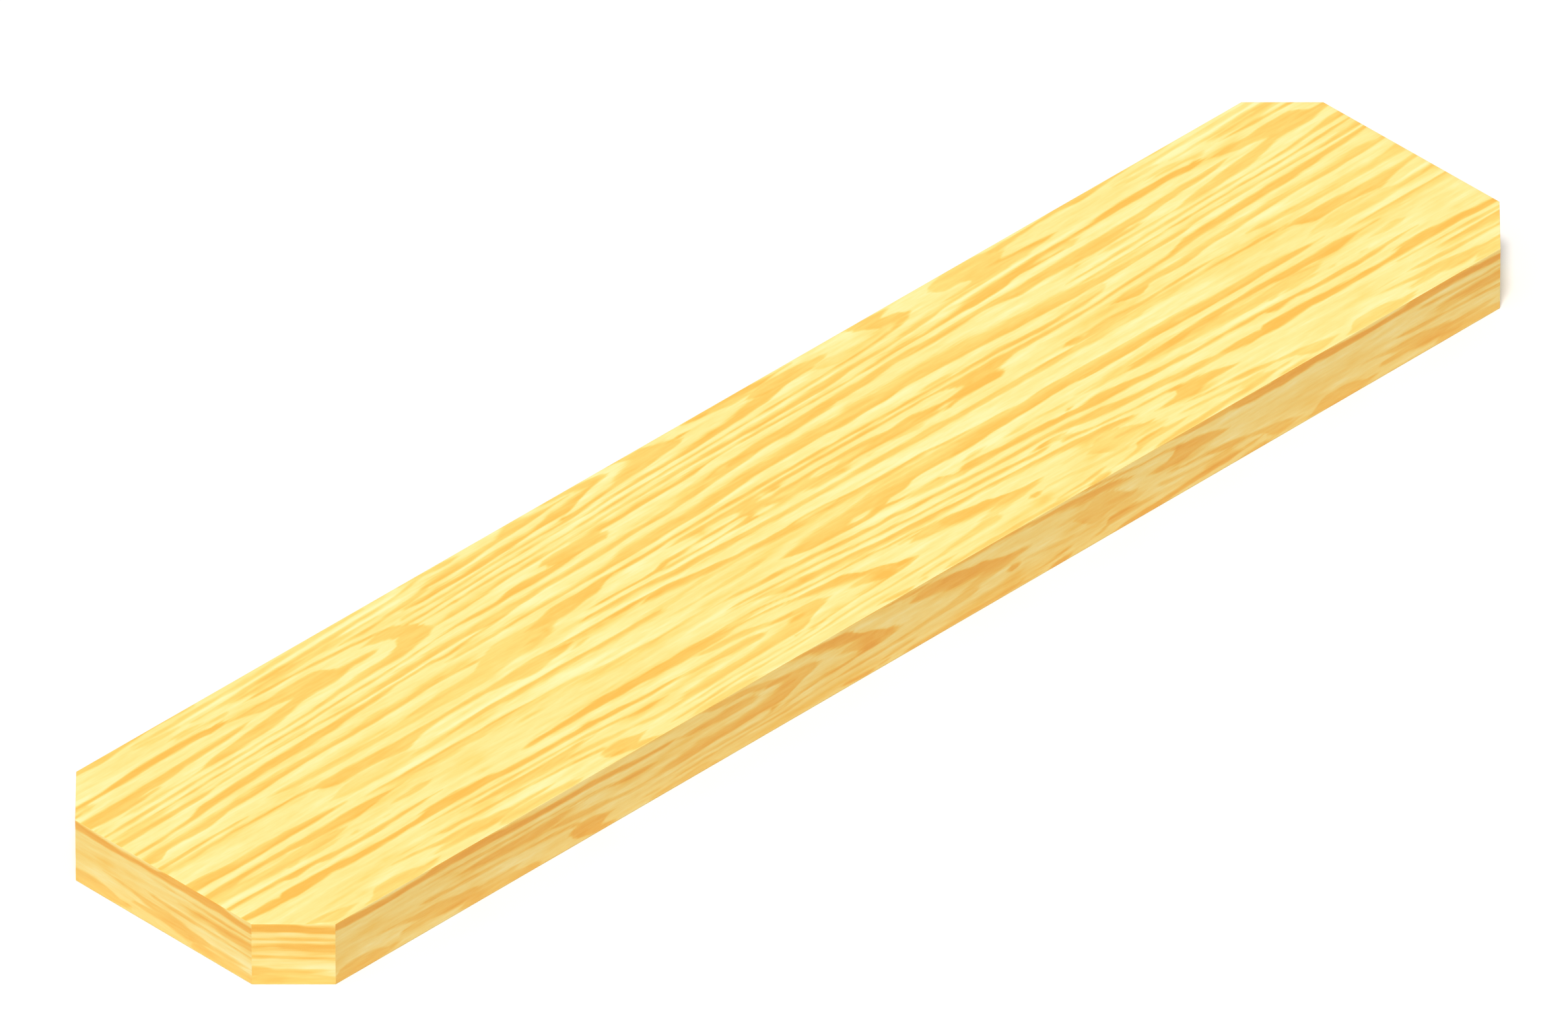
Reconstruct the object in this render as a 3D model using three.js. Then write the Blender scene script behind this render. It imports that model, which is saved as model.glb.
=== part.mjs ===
// A sawn softwood plank: one piece of timber, rectangular in section, with its four corners
// cut off at 45 degrees so that the ends don't split or snag.
//
// Millimetres, +Z up. The plank lies flat with its length along X and its width along Y, and
// the origin is the middle of its lower face.

import * as THREE from "three";

// The section that the log was sawn to.
const width = 250;
const thickness = 50;

// Cut length: a nominal 1.2 m, and the few millimetres over that such stock is cut with.
const length = 1204;

// Each corner is cut back by this much along the edge and along the end.
const cornerCut = 40;

// The edges of both wide faces are eased to this radius, rounded in this many steps.
const easing = 0.8;
const easingSteps = 3;

// The plank seen from above: a rectangle with its corners cut, anticlockwise from the left of
// its front edge.
function plankOutline() {
  const endX = length / 2;
  const edgeY = width / 2;
  const outline = new THREE.Shape();
  outline.moveTo(-endX + cornerCut, -edgeY);
  outline.lineTo(endX - cornerCut, -edgeY);
  outline.lineTo(endX, -edgeY + cornerCut);
  outline.lineTo(endX, edgeY - cornerCut);
  outline.lineTo(endX - cornerCut, edgeY);
  outline.lineTo(-endX + cornerCut, edgeY);
  outline.lineTo(-endX, edgeY - cornerCut);
  outline.lineTo(-endX, -edgeY + cornerCut);
  outline.closePath();
  return outline;
}

// The outline extruded upwards. The bevel that eases its edges is taken out of the solid, top
// and bottom, so the plank keeps its full length, width and thickness.
function plankGeometry() {
  const geometry = new THREE.ExtrudeGeometry(plankOutline(), {
    depth: thickness - 2 * easing,
    steps: 1,
    bevelEnabled: true,
    bevelThickness: easing,
    bevelSize: easing,
    bevelOffset: -easing,
    bevelSegments: easingSteps,
  });
  geometry.translate(0, 0, easing);
  return geometry;
}

// Pale yellow pine, sawn and dry.
const sawnPine = new THREE.MeshStandardMaterial({
  color: new THREE.Color().setRGB(0.99, 0.81, 0.42, THREE.SRGBColorSpace),
  roughness: 0.65,
  metalness: 0,
});

const plank = new THREE.Mesh(plankGeometry(), sawnPine);
plank.name = "plank";

const part = new THREE.Group();
part.add(plank);

export default part;
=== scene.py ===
"""A sawn pine plank with clipped corners, dressed around its CAD solid, and the stage it lies on.

The plank is flat-sawn, so its growth rings run along it as long bands, arches and lenses. They are drawn
once, as bands on a sheet of wood that repeats along its length, and each face of the plank shows its own
part of that sheet. The bands are kept as attributes of the mesh. The material reads them for its colour,
gloss and bump, and the mesh itself lies a touch lower where the soft wood between the bands has worn.
"""

import math

import bmesh
import bpy
import numpy as np
from mathutils import Matrix, Vector


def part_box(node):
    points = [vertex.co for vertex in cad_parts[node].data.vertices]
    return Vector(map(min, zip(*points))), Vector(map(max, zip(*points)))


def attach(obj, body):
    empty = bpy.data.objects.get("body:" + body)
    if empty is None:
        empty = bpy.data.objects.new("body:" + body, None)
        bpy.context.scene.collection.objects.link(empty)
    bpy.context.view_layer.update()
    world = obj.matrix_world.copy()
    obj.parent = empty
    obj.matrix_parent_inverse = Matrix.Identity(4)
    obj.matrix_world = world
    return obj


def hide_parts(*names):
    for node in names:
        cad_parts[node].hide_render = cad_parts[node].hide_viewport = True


bl_info = {
    "name": "Sawn pine plank",
    "version": (1, 0, 0),
    "blender": (4, 5, 0),
    "location": "3D View > Sidebar > Plank",
    "description": "Makes a flat-sawn pine plank with clipped corners, and a plain pale stage for it",
    "category": "Object",
}

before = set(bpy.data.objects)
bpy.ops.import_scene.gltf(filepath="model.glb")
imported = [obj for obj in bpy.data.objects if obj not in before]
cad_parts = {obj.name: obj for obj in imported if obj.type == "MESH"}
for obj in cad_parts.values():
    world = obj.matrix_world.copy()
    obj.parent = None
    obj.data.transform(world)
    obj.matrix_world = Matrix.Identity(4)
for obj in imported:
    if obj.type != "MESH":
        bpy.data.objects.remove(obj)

MM = 0.001
NODE = "plank"
BODY = "root"

LOW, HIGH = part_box(NODE)
LENGTH = HIGH.x - LOW.x
WIDTH = HIGH.y - LOW.y
THICKNESS = HIGH.z - LOW.z


def corner_cut():
    """How far each corner is cut back along the front edge, from the solid's own vertices."""
    front = [v.co.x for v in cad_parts[NODE].data.vertices if v.co.y < LOW.y + 0.01 * MM]
    return HIGH.x - max(front)


CUT = corner_cut()


# ---------------------------------------------------------------- settings


class PlankSettings(bpy.types.PropertyGroup):
    """Sizes and colours of the plank."""

    easing: bpy.props.FloatProperty(
        name="Easing",
        description="Radius of the eased arrises",
        default=0.25 * MM,
        min=0.2 * MM,
        max=3 * MM,
        precision=4,
        unit="LENGTH",
    )
    relief: bpy.props.FloatProperty(
        name="Relief",
        description="How far the soft wood lies below the hard bands",
        default=0.06 * MM,
        min=0,
        max=0.5 * MM,
        precision=5,
        unit="LENGTH",
    )
    cream: bpy.props.FloatVectorProperty(
        name="Cream", description="The palest wood", subtype="COLOR", default=(0.93, 0.856, 0.405)
    )
    straw: bpy.props.FloatVectorProperty(
        name="Straw",
        description="The wood between the bands",
        subtype="COLOR",
        default=(0.93, 0.777, 0.283),
    )
    honey: bpy.props.FloatVectorProperty(
        name="Honey",
        description="The wood at the edge of a band",
        subtype="COLOR",
        default=(0.925, 0.66, 0.162),
    )
    amber: bpy.props.FloatVectorProperty(
        name="Amber", description="The wood of a band", subtype="COLOR", default=(0.91, 0.538, 0.091)
    )
    resin: bpy.props.FloatVectorProperty(
        name="Resin",
        description="The darkest wood, full of resin",
        subtype="COLOR",
        default=(0.885, 0.472, 0.059),
    )
    # Painted shade: the edges and ends are multiplied by these colours so they look less lit than the broad
    # faces. The first is for pale wood, the second for the bands.
    painted_shade_pale: bpy.props.FloatVectorProperty(
        name="Edge tint, pale wood",
        description="Deepens the pale wood on the edges and ends",
        subtype="COLOR",
        default=(0.928, 0.821, 0.732),
    )
    painted_shade_bands: bpy.props.FloatVectorProperty(
        name="Edge tint, bands",
        description="Deepens the bands on the edges and ends",
        subtype="COLOR",
        default=(0.887, 0.722, 0.378),
    )
    roughness: bpy.props.FloatProperty(
        name="Roughness",
        description="Roughness of the sawn wood",
        default=0.6,
        min=0,
        max=1,
        subtype="FACTOR",
    )


class StageSettings(bpy.types.PropertyGroup):
    """Light and floor of the stage."""

    sky: bpy.props.FloatProperty(
        name="Sky", description="Strength of the even light from all round", default=0.36, min=0, max=2
    )
    lamp: bpy.props.FloatProperty(
        name="Lamp", description="Strength of the soft lamp", default=2.48, min=0, max=10
    )
    fill: bpy.props.FloatProperty(
        name="Fill", description="Strength of the wide fill lamp on the left", default=0.3, min=0, max=10
    )
    floor_side: bpy.props.FloatProperty(
        name="Floor", description="Side of the floor", default=16.0, min=4, unit="LENGTH"
    )
    floor_colour: bpy.props.FloatVectorProperty(
        name="Floor colour", description="Colour of the floor", subtype="COLOR", default=(0.95, 0.95, 0.95)
    )


# ---------------------------------------------------------------- the growth bands

# The sheet of wood repeats after this many millimetres along the grain.
SHEET_PERIOD = 943.0

# The tone of wood far from every band, and the level under which a band is pale and cuts into the others.
BARE = 0.27
PALE = 0.2

# How the ends of a band set in: the depth at its end, and how fast it grows inside and falls outside.
END_START = 0.5
END_RISE = 0.16
END_FALL = 0.55

# The bands in the order they are laid, each as its level, its crisp side and its middle line. Level 0 is the
# palest wood and 1 the darkest. The crisp side is 1 for the upper, -1 for the lower and 0 for neither. The
# middle line's points are (along the grain, across the grain, width), in millimetres.
BANDS = (
    # far edge, arches and the lines above v = 220
    (0.75, 0, ((896, 246, 4), (908, 245.1, 6.2), (915, 244.6, 6.8), (920, 244.9, 6.2), (948, 246.6, 3),
        (958, 247, 2.1), (968, 247.6, 3.3), (981, 248.3, 4.5), (1003, 247.3, 5.5), (1023, 248.3, 3.5),
        (1043, 249.3, 2), (1093, 249.6, 1.5))),
    (0.5, 0, ((84, 243.4, 0), (98, 243, 2.6), (112, 242.9, 3.4), (125, 242.9, 3), (150, 243.8, 3.5),
        (190, 244.4, 4.8), (205, 245, 4.6), (250, 247.3, 4.5), (280, 247.8, 3), (310, 248.3, 2))),
    (0.4, 0, ((86, 240.8, 1.5), (95, 239.8, 3.5), (110, 238.3, 3.5), (125, 238.3, 1.5))),
    (0.6, 0, ((136, 235.6, 0), (150, 235.5, 1.6), (162, 235.6, 2.4), (172, 236.2, 3.4), (182, 236.4, 4),
        (200, 237.8, 4), (235, 238.1, 4), (265, 239, 5.2), (290, 240.8, 4.2), (325, 241.6, 2.5),
        (340, 242.8, 2.5), (350, 244.8, 2.5), (360, 246.8, 1.5))),
    (0.44, 0, ((170, 232.8, 0), (188, 231.9, 3.6), (205, 231.6, 5.8), (225, 232.8, 6.5), (250, 233.8, 5.5),
        (265, 233.3, 6), (285, 234.3, 4), (312, 235.5, 0))),
    (0.55, 0, ((108, 231.2, 0), (118, 231.4, 2.2), (128, 231.2, 2.6), (136, 230.2, 2), (145, 229, 0))),
    (0.55, 0, ((113, 228.8, 1.5), (130, 228.3, 2.5), (145, 227.3, 3), (155, 226.3, 4), (160, 226.8, 1.5))),
    (0.85, 0, ((176, 227.4, 0), (188, 227.2, 2.6), (198, 227.2, 3.1), (215, 226.7, 2.9), (240, 225.8, 2.8),
        (250, 225, 3), (280, 222.3, 2.9), (290, 221.4, 3), (300, 219.8, 4), (312, 216.8, 5.5))),
    (0.65, 0, ((345, 248.8, 1.5), (365, 248.3, 3), (380, 247.1, 4.5), (392, 247, 3.4), (399, 247, 0))),
    (0.6, 0, ((270, 228.8, 1.5), (290, 228.8, 3), (310, 229.8, 2.5), (330, 231.9, 3.6), (345, 233.2, 4),
        (358, 235.3, 3.5))),
    (0.75, -1, ((354, 236.5, 2), (362, 237.7, 5), (370, 237.9, 6), (400, 238.6, 6), (420, 240.3, 5),
        (435, 241.6, 5.5), (445, 244.4, 10.7), (458, 244.6, 9.9), (469, 243.6, 6.1), (490, 244, 2),
        (500, 244.3, 1.5))),
    (0.7, 0, ((474, 249.5, 0), (486, 249, 2.2), (500, 248.4, 3.5), (523, 245.6, 6.9), (531, 244.6, 6.2),
        (537, 244.2, 4), (541, 244, 0))),
    (0.85, -1, ((328, 227.6, 1.5), (345, 227, 3.2), (360, 227.8, 4.2), (380, 227.9, 4.7), (400, 228.7, 6.1),
        (420, 230.4, 6.8), (440, 231.1, 4.8), (460, 231.8, 3.5), (470, 233.3, 5.5), (480, 234.8, 8.5),
        (490, 234.8, 9.1), (500, 236.8, 6.9), (510, 239, 5), (520, 241.6, 4.5), (530, 243.3, 4.5))),
    (0.7, -1, ((320, 220.6, 1.8), (380, 221.9, 2.2), (400, 223.3, 2.1), (420, 224.1, 2.5), (470, 224.8, 3),
        (490, 225.6, 4), (500, 226.9, 4), (520, 229.4, 4), (534, 231.2, 4.5), (546, 234.4, 9.9),
        (570, 238.1, 14.9), (585, 238.8, 12.8), (598, 238.1, 8.4), (602, 237.2, 5.6), (606, 236.8, 0))),
    (0.7, 0, ((546, 249.9, 0), (554, 249.2, 2.8), (562, 247.4, 5.8), (570, 245.6, 7.4), (577, 245.2, 8),
        (584, 243.4, 6.2), (597, 241.2, 2.8), (603, 240.8, 0))),
    (0.95, 0, ((598, 240.6, 0), (603, 240.4, 2.2), (609, 240.6, 2.3), (615, 240.8, 0))),
    (1.0, 0, ((476.5, 227.3, 0), (479, 227.3, 1.6), (485, 227.2, 1.5), (488, 227.2, 0))),
    (0.85, 0, ((617, 248.8, 1.5), (625, 248.1, 3.5), (640, 247.5, 5), (655, 246.8, 6.8), (685, 246.9, 6),
        (700, 247.2, 3), (715, 247.8, 2.5), (723, 247.8, 1.5))),
    (0.6, 0, ((640, 245.8, 1.5), (650, 245.3, 3.5), (660, 244.1, 4.5), (668, 243.3, 3.5),
        (680, 242.8, 3.5))),
    (0.65, 0, ((668, 238.8, 0), (674, 238.6, 5.6), (683, 238.7, 10.3), (700, 239.1, 10.9),
        (720, 238.8, 10.5), (735, 238.5, 7), (743, 238.6, 4.5), (749, 239, 0))),
    (0.8, -1, ((310, 215.3, 1.5), (330, 214.6, 2.5), (350, 215.6, 2.5), (365, 216.1, 2.5), (380, 217, 2.5),
        (440, 219.3, 2.1), (490, 220, 1.9), (510, 221, 2.6), (520, 222.2, 3.2), (560, 223.8, 3.5),
        (580, 224.1, 4), (600, 224.4, 4.5), (610, 225.2, 5.9), (620, 226.6, 6.5), (640, 227.8, 6.5),
        (655, 229.6, 8.8), (665, 231.2, 10.4), (680, 231.3, 7.5), (690, 232.2, 5.5), (700, 233.7, 3.7),
        (715, 234.4, 2.5), (730, 234.1, 2))),
    (0.8, 0, ((300, 209.3, 1.5), (340, 209.6, 1.5), (400, 211.6, 2.1), (430, 212, 2.1), (450, 212.6, 2.1),
        (480, 213.4, 2.2), (500, 214.6, 2.7), (540, 216.6, 2.7), (590, 218, 2), (690, 220.6, 2.3),
        (720, 221.7, 2.5), (760, 223.3, 2.5), (790, 226.3, 4), (808, 230.8, 8.5))),
    (0.75, 0, ((780, 243.2, 0), (785, 242.4, 5), (791, 240.8, 7.4), (797, 238, 11), (802, 236.2, 13.2),
        (806, 235, 13.4), (817, 234.2, 10.2), (821, 234, 6.4), (824, 234, 0))),
    (0.75, 0, ((773, 249, 0), (779, 247.6, 5), (784, 245.6, 8.6), (790, 244.8, 10.6), (798, 244.8, 10),
        (806, 246.6, 4.8), (812, 247.4, 2.8), (816, 247.8, 0))),
    (0.4, 0, ((726, 231.6, 0), (732, 231.4, 5), (752, 229.4, 8.5), (765, 228.8, 6), (780, 229, 5),
        (792, 230.2, 5), (800, 231.2, 6), (806, 232, 0))),
    (0.7, -1, ((330, 200.2, 2.6), (350, 201.2, 4.6), (375, 202.1, 3.5), (400, 204.9, 3.4),
        (430, 205.5, 2.5), (470, 207, 1.7), (485, 207.7, 1.6), (500, 208.8, 2.3), (530, 209.7, 2.5),
        (570, 210.9, 3.1), (590, 211.7, 3.5), (610, 212, 4.3), (700, 212.8, 5.9), (720, 213.7, 6.9),
        (732, 214.6, 7.1), (742, 215.5, 5.3), (760, 216, 4.5), (780, 216.1, 4.1), (800, 217.7, 4.7),
        (820, 219.5, 5.1), (832, 220.3, 5), (840, 221.6, 3.9), (850, 222.3, 3.1), (870, 223.1, 3.2),
        (890, 223.7, 3.3), (902, 223.9, 3), (910, 224.8, 3.5))),
    (0.58, 0, ((848, 241.4, 0), (852, 241, 7), (858, 240.4, 12), (862, 240.6, 13.2), (870, 241.6, 15.6),
        (876, 241.2, 17), (880, 240, 20), (884, 237.6, 24.6), (895, 236.8, 26.5), (903, 237, 25),
        (908, 238.4, 16.4), (912, 239.2, 9.6), (920, 239.6, 0))),
    (0.55, 0, ((849, 226.2, 0), (856, 226, 2.8), (862, 226, 3), (870, 226.2, 3.4), (878, 226.8, 4.6),
        (884, 228.2, 8.8), (890, 229.4, 12), (900, 228.8, 11.5), (915, 229.3, 9.5), (930, 229.1, 8),
        (945, 229.3, 5), (955, 229.4, 3.5), (963, 229.6, 0))),
    (0.85, 0, ((900, 233.9, 0), (910, 233.3, 1.7), (925, 231.8, 2.6), (940, 230.5, 2.8), (950, 229.8, 2.8),
        (958, 230.1, 1.5))),
    # lines and bands between v = 188 and v = 220
    (0.85, -1, ((465, 202.3, 3.5), (480, 201.9, 4.9), (520, 202.1, 4.3), (535, 203, 4.9), (555, 202.8, 4.5),
        (572, 203.2, 4.5), (582, 203.8, 5), (600, 205.6, 3.1), (620, 206.1, 2.5), (650, 206, 2.3),
        (700, 205.8, 2.7), (750, 206.1, 2.5), (762, 206.8, 3), (770, 208.1, 4.5), (780, 208.6, 4.4),
        (800, 208.6, 4.4), (820, 208.4, 4.1), (840, 209.8, 5), (850, 210.7, 6.1), (860, 211.6, 9),
        (870, 212.4, 9.8), (890, 213.5, 10.5), (898, 214.4, 8.6), (906, 215.2, 7.8), (920, 215.4, 8.2),
        (940, 215.3, 9.1), (948, 215.2, 8.6), (955, 215, 5), (960, 215, 0))),
    (0.5, 0, ((945, 214.4, 0), (952, 214.2, 6), (960, 214, 6.4), (966, 213.8, 0))),
    (0.95, 0, ((910, 218.9, 0), (923, 219.2, 2.3), (943, 218.8, 2.9), (985, 219.2, 4), (1003, 220.4, 6.3),
        (1023, 221.1, 6.3), (1043, 221.3, 6.7), (1063, 221.5, 6.5), (1073, 220.9, 6.8), (1079, 220, 6.6),
        (1085, 219.6, 4.4), (1101, 219.6, 0))),
    (0.4, 0, ((926, 214.8, 0), (932, 214.6, 2.5), (946, 214.6, 2.9), (954, 214.8, 0))),
    (1.0, 0, ((141.5, 221.6, 0), (146, 221.9, 2.1), (149, 221.9, 1.9), (152.5, 221.8, 0))),
    (0.38, 0, ((558, 191.4, 0), (572, 192.2, 5), (588, 192.4, 7), (604, 192.4, 7), (612, 192.4, 0))),
    (0.75, 0, ((584, 192, 0), (592, 192.4, 3.5), (600, 192.2, 7), (620, 192.6, 8), (635, 193.7, 8.5),
        (665, 193.8, 9.6), (680, 194.6, 9.3), (700, 195.1, 8.9), (706, 195.4, 8.3), (711, 196.5, 6.7),
        (717, 196.5, 7.7), (730, 196.8, 7.4), (750, 197.7, 6.8), (760, 198.9, 6.2), (775, 199.5, 5.7),
        (790, 199.6, 5.5), (805, 199, 5.7), (820, 199.3, 5.5), (840, 200, 5.3), (862, 200.8, 4.5),
        (872, 200.1, 6), (882, 199.3, 7.3), (890, 198.3, 9.1), (900, 198.7, 8.7), (912, 199.2, 8.3),
        (925, 199.3, 9), (943, 199.9, 10), (963, 199.8, 10.5), (984, 200.6, 9.1), (1003, 202.3, 7.4),
        (1018, 202.1, 8), (1027, 202.7, 7.8), (1036, 203.9, 6.4), (1048, 204.7, 6.2), (1058, 205.5, 5.6),
        (1083, 206.2, 5.2), (1100, 207.4, 4.2), (1112, 207.4, 2.6), (1123, 207.6, 0))),
    (0.35, 0, ((593, 192, 0), (598, 192, 2.5), (606, 191.8, 2.1), (611, 192, 0))),
    (1.0, 0, ((606, 191, 2.5), (617, 191, 4.9), (626, 190.6, 4.8), (632, 190.6, 2.4), (637, 191, 0))),
    (0.75, 0, ((-12, 196.2, 2.5), (10, 196, 4.5), (40, 195.9, 4.5), (60, 196.4, 3.1), (78, 197.4, 0))),
    (0.55, 0, ((22, 190, 0), (31, 189.9, 3), (50, 190, 3.2), (75, 190.4, 2.8), (99, 190.8, 0))),
    (0.7, 0, ((88, 190.8, 0), (100, 190.9, 2.6), (114, 192.6, 5.8), (135, 194.3, 8.6), (150, 195.9, 9.8),
        (165, 197, 10.8), (180, 198.9, 10), (192, 201.2, 8.8), (202, 204.1, 9.1), (215, 205.6, 10.1),
        (230, 205.9, 11.3), (240, 205.9, 10.4), (250, 206.7, 7.6), (260, 207.6, 4.6))),
    (0.7, 0, ((152, 218.4, 0), (163, 217, 3.4), (172, 216, 6), (182, 214.1, 10.6), (190, 212.9, 11),
        (196, 212.4, 12.4), (205, 213, 13.6), (215, 213.4, 13.9), (226, 213.8, 12.1), (236, 213.4, 11.4),
        (241, 212.6, 9), (246, 210.7, 5), (252, 209.8, 0))),
    (0.02, 0, ((70, 197.3, 0), (88, 197.8, 2.9), (110, 199.4, 3.7), (140, 201.4, 3.1), (155, 203.8, 3.3),
        (166, 206.2, 4.5), (180, 207.4, 4.5), (192, 207.2, 2.9), (199, 207, 0))),
    (0.68, 0, ((279, 216.6, 0), (284, 216.4, 3), (289, 215.2, 7), (293, 213.6, 13), (298, 210.6, 20.6),
        (303, 207.6, 25.1), (309, 206.2, 25.9), (315, 205.4, 22.1), (320, 204.4, 18), (325, 202.6, 11),
        (329, 201, 4), (331, 200.6, 0))),
    (0.04, 0, ((270, 207.4, 3.5), (288, 207, 10.1), (298, 206.8, 4.9), (301, 207, 0))),
    (0.72, 0, ((240, 208, 6.5), (252, 208, 5.3), (274, 207.2, 5.2), (281, 207.2, 3.8), (287, 207.6, 0))),
    (0.95, 0, ((358, 210.3, 0.9), (362, 210.1, 2.5), (366, 210.2, 0.9))),
    (0.7, 0, ((430, 199, 0), (434, 198, 6.5), (445, 197.1, 10.8), (460, 196.9, 12), (481, 196.6, 12),
        (487, 196, 11.2), (490, 195.4, 9), (492.5, 195, 0))),
    (0.85, 0, ((328, 189.4, 0), (340, 189.2, 2.4), (362, 188.6, 3.8), (385, 189, 4.2), (390, 189.6, 5.2),
        (398, 190.3, 6.6), (420, 190.4, 7.1), (440, 190.2, 5.3), (460, 191.3, 2.6), (476, 192, 0))),
    # the broad bands between v = 160 and v = 192
    (0.7, 0, ((-20, 181.2, 0), (-4, 181.3, 1.8), (12, 181.9, 2.3), (34, 182.4, 3.4), (52, 183.1, 3.1),
        (150, 185.8, 2.3), (190, 187, 2.5), (210, 188.3, 2.7), (240, 191.2, 5), (250, 192, 6.2),
        (265, 192.6, 6.6), (285, 193.5, 8), (293, 194.6, 10), (299, 196.2, 11.4), (308, 196.6, 8.4),
        (316, 196.8, 6.6), (323, 197.8, 5), (328, 199.6, 2))),
    (0.85, 0, ((-26, 174.2, 0), (-12, 174.8, 1.6), (5, 175.4, 1.7), (50, 177, 1.6), (100, 178.6, 2.2),
        (150, 180, 2.3), (190, 180.6, 2.5), (240, 183.3, 2.5), (260, 183.8, 2.3), (280, 184.8, 2.1),
        (300, 186, 2), (310, 187, 1.7), (340, 188.4, 1.1))),
    (0.7, -1, ((30, 169.2, 5.5), (60, 169.5, 5.2), (80, 170, 5), (97, 171.6, 3.2), (112, 172.4, 2.8),
        (150, 173.3, 2.5), (200, 173.8, 2.7), (230, 173.8, 3.6), (250, 174.8, 5.6), (265, 175.8, 6),
        (280, 176.2, 6.6), (300, 177.3, 6), (325, 178.3, 6.8), (345, 178.1, 7.2), (360, 178, 8.6),
        (375, 178.3, 8), (390, 179.3, 7), (410, 179.8, 5.5), (450, 180.6, 5.5), (480, 181.7, 5.9),
        (500, 182.3, 4.9), (520, 183.2, 4.9), (540, 183.6, 5.5), (555, 185.1, 5.7), (570, 186.3, 6.1),
        (585, 187.3, 4.5), (615, 189.3, 4.5), (630, 190.3, 3.5))),
    (0.72, -1, ((308, 162.7, 0), (318, 163.2, 2.4), (330, 163.3, 2.6), (345, 163.3, 2.5), (360, 164.1, 3),
        (380, 165.1, 3.5), (420, 165.1, 3.9), (440, 165.2, 4.4), (460, 165.6, 4.9), (470, 166.3, 5.6),
        (478, 167.5, 8.2), (486, 168.5, 10.2), (500, 169, 10.7), (540, 170.1, 9.5), (560, 170.3, 9.5),
        (570, 171.2, 8.7), (585, 172.3, 8.9), (610, 174.7, 8.2), (620, 175.3, 8.6), (640, 175.4, 9.3),
        (660, 176.5, 10.2), (680, 176.7, 10.7), (690, 175.7, 11.9), (700, 175.5, 11.9), (714, 177.8, 14.4),
        (722, 177.9, 13.8), (740, 177.4, 12.8), (750, 178.1, 11.9), (780, 178.2, 12.6), (800, 177.5, 13.1),
        (832, 176.4, 13.5), (842, 175.3, 12.1), (860, 174.4, 13.2), (868, 173.4, 11.9), (900, 172.3, 12.4),
        (912, 171.4, 12.3), (943, 169, 7.4), (963, 169, 6.8), (976, 169.3, 5.5))),
    (0.42, 0, ((892, 157.6, 0), (902, 158, 3), (912, 159, 6), (920, 160, 8.4), (934, 161.4, 7.6),
        (939, 162, 5), (943, 162.4, 0))),
    (0.36, 0, ((943, 173.1, 2.5), (955, 173.3, 3.5), (985, 174.1, 3.5), (1003, 174.6, 0))),
    # the two long lines above the lens, and its lines
    (0.8, 0, ((440, 156.6, 3.3), (460, 156.8, 4.4), (500, 157.6, 3.5), (515, 158.7, 2.7), (530, 159.1, 2.8),
        (600, 159.6, 3.1), (690, 159.5, 2.9), (720, 158.6, 2.7), (760, 158.4, 3.1), (800, 158.1, 3.5),
        (840, 157.8, 4.5), (852, 156.9, 4.3), (900, 155.8, 3.2), (926, 157.4, 1.4), (931, 158.4, 0))),
    (0.8, 0, ((505, 152.5, 0), (520, 152.6, 3.5), (560, 152.8, 4.5), (600, 153.8, 4.1), (680, 154.1, 3.7),
        (720, 153.5, 3.3), (740, 153.3, 2.8), (755, 152.8, 2.9), (770, 152.6, 3), (790, 152, 3.2),
        (820, 150.9, 5.4), (840, 150.4, 5), (860, 149.8, 4.4), (880, 149.7, 3.9), (900, 149.3, 3.5),
        (920, 149.8, 3), (943, 151.8, 3), (973, 153.2, 3.5), (983, 154, 3.4), (1001, 155.4, 4),
        (1008, 157, 5.6), (1016, 158.6, 7), (1026, 159.6, 6.6), (1043, 160.8, 7), (1063, 161.7, 6.8),
        (1083, 162.7, 7.4), (1103, 163.3, 7.8), (1123, 163.7, 8.2), (1133, 164.4, 7.4), (1145, 164.9, 6.8),
        (1153, 165.8, 5.8), (1168, 166.6, 5), (1198, 168.6, 4.2), (1206, 169.4, 3.2), (1218, 169.8, 2.6),
        (1241, 170.2, 3.3))),
    (0.8, 0, ((298, 170.6, 3.5), (315, 169.1, 3.5), (325, 170.6, 2.8), (360, 173.4, 2), (375, 174.6, 1.2))),
    (0.7, -1, ((-17, 142.4, 0), (-12, 142.2, 3.2), (-6, 141.8, 6.2), (0, 141.7, 9), (9, 141.6, 10.6),
        (14, 142.4, 8.6), (18, 143.6, 6.4), (30, 144.2, 6), (45, 143.8, 7), (58, 144, 7.4), (66, 144.8, 7),
        (78, 146.5, 5.8), (100, 147.4, 6.4), (120, 148.7, 6.4), (150, 149.9, 5.4), (180, 149.9, 4.6),
        (210, 150.3, 6), (240, 151.8, 7), (255, 151.3, 5), (270, 152.8, 5.5), (285, 153.3, 6),
        (298, 152.3, 4.5), (320, 150.8, 3.5), (335, 149.8, 2.5), (345, 149.6, 1.5))),
    (0.52, 0, ((112, 136.8, 0), (125, 135.6, 4), (140, 134.8, 5), (155, 133.6, 5.6), (200, 132, 5.6),
        (225, 132.2, 5.8), (245, 133.4, 8), (262, 134.6, 10.8), (275, 135, 12.4), (300, 134.8, 13),
        (318, 135.4, 12), (335, 136.8, 9.5), (350, 137.3, 8), (370, 137.8, 5.5), (385, 138, 0))),
    (0.5, 0, ((300, 137.4, 2), (314, 139.8, 7), (324, 142.4, 12.8), (334, 144.6, 17.3), (360, 146, 19),
        (380, 146.8, 17.5), (395, 149.8, 12.5))),
    (0.75, 0, ((372, 151, 0), (382, 151.3, 5), (398, 151.6, 13.2), (410, 152, 13.8), (425, 153.8, 10.4),
        (438, 154.4, 10), (444, 155.4, 8), (450, 157.1, 5), (461, 157.1, 3.6))),
    (0.65, 0, ((361, 139.9, 0.9), (366, 139.8, 2.5), (371, 139.9, 0.9))),
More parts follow.
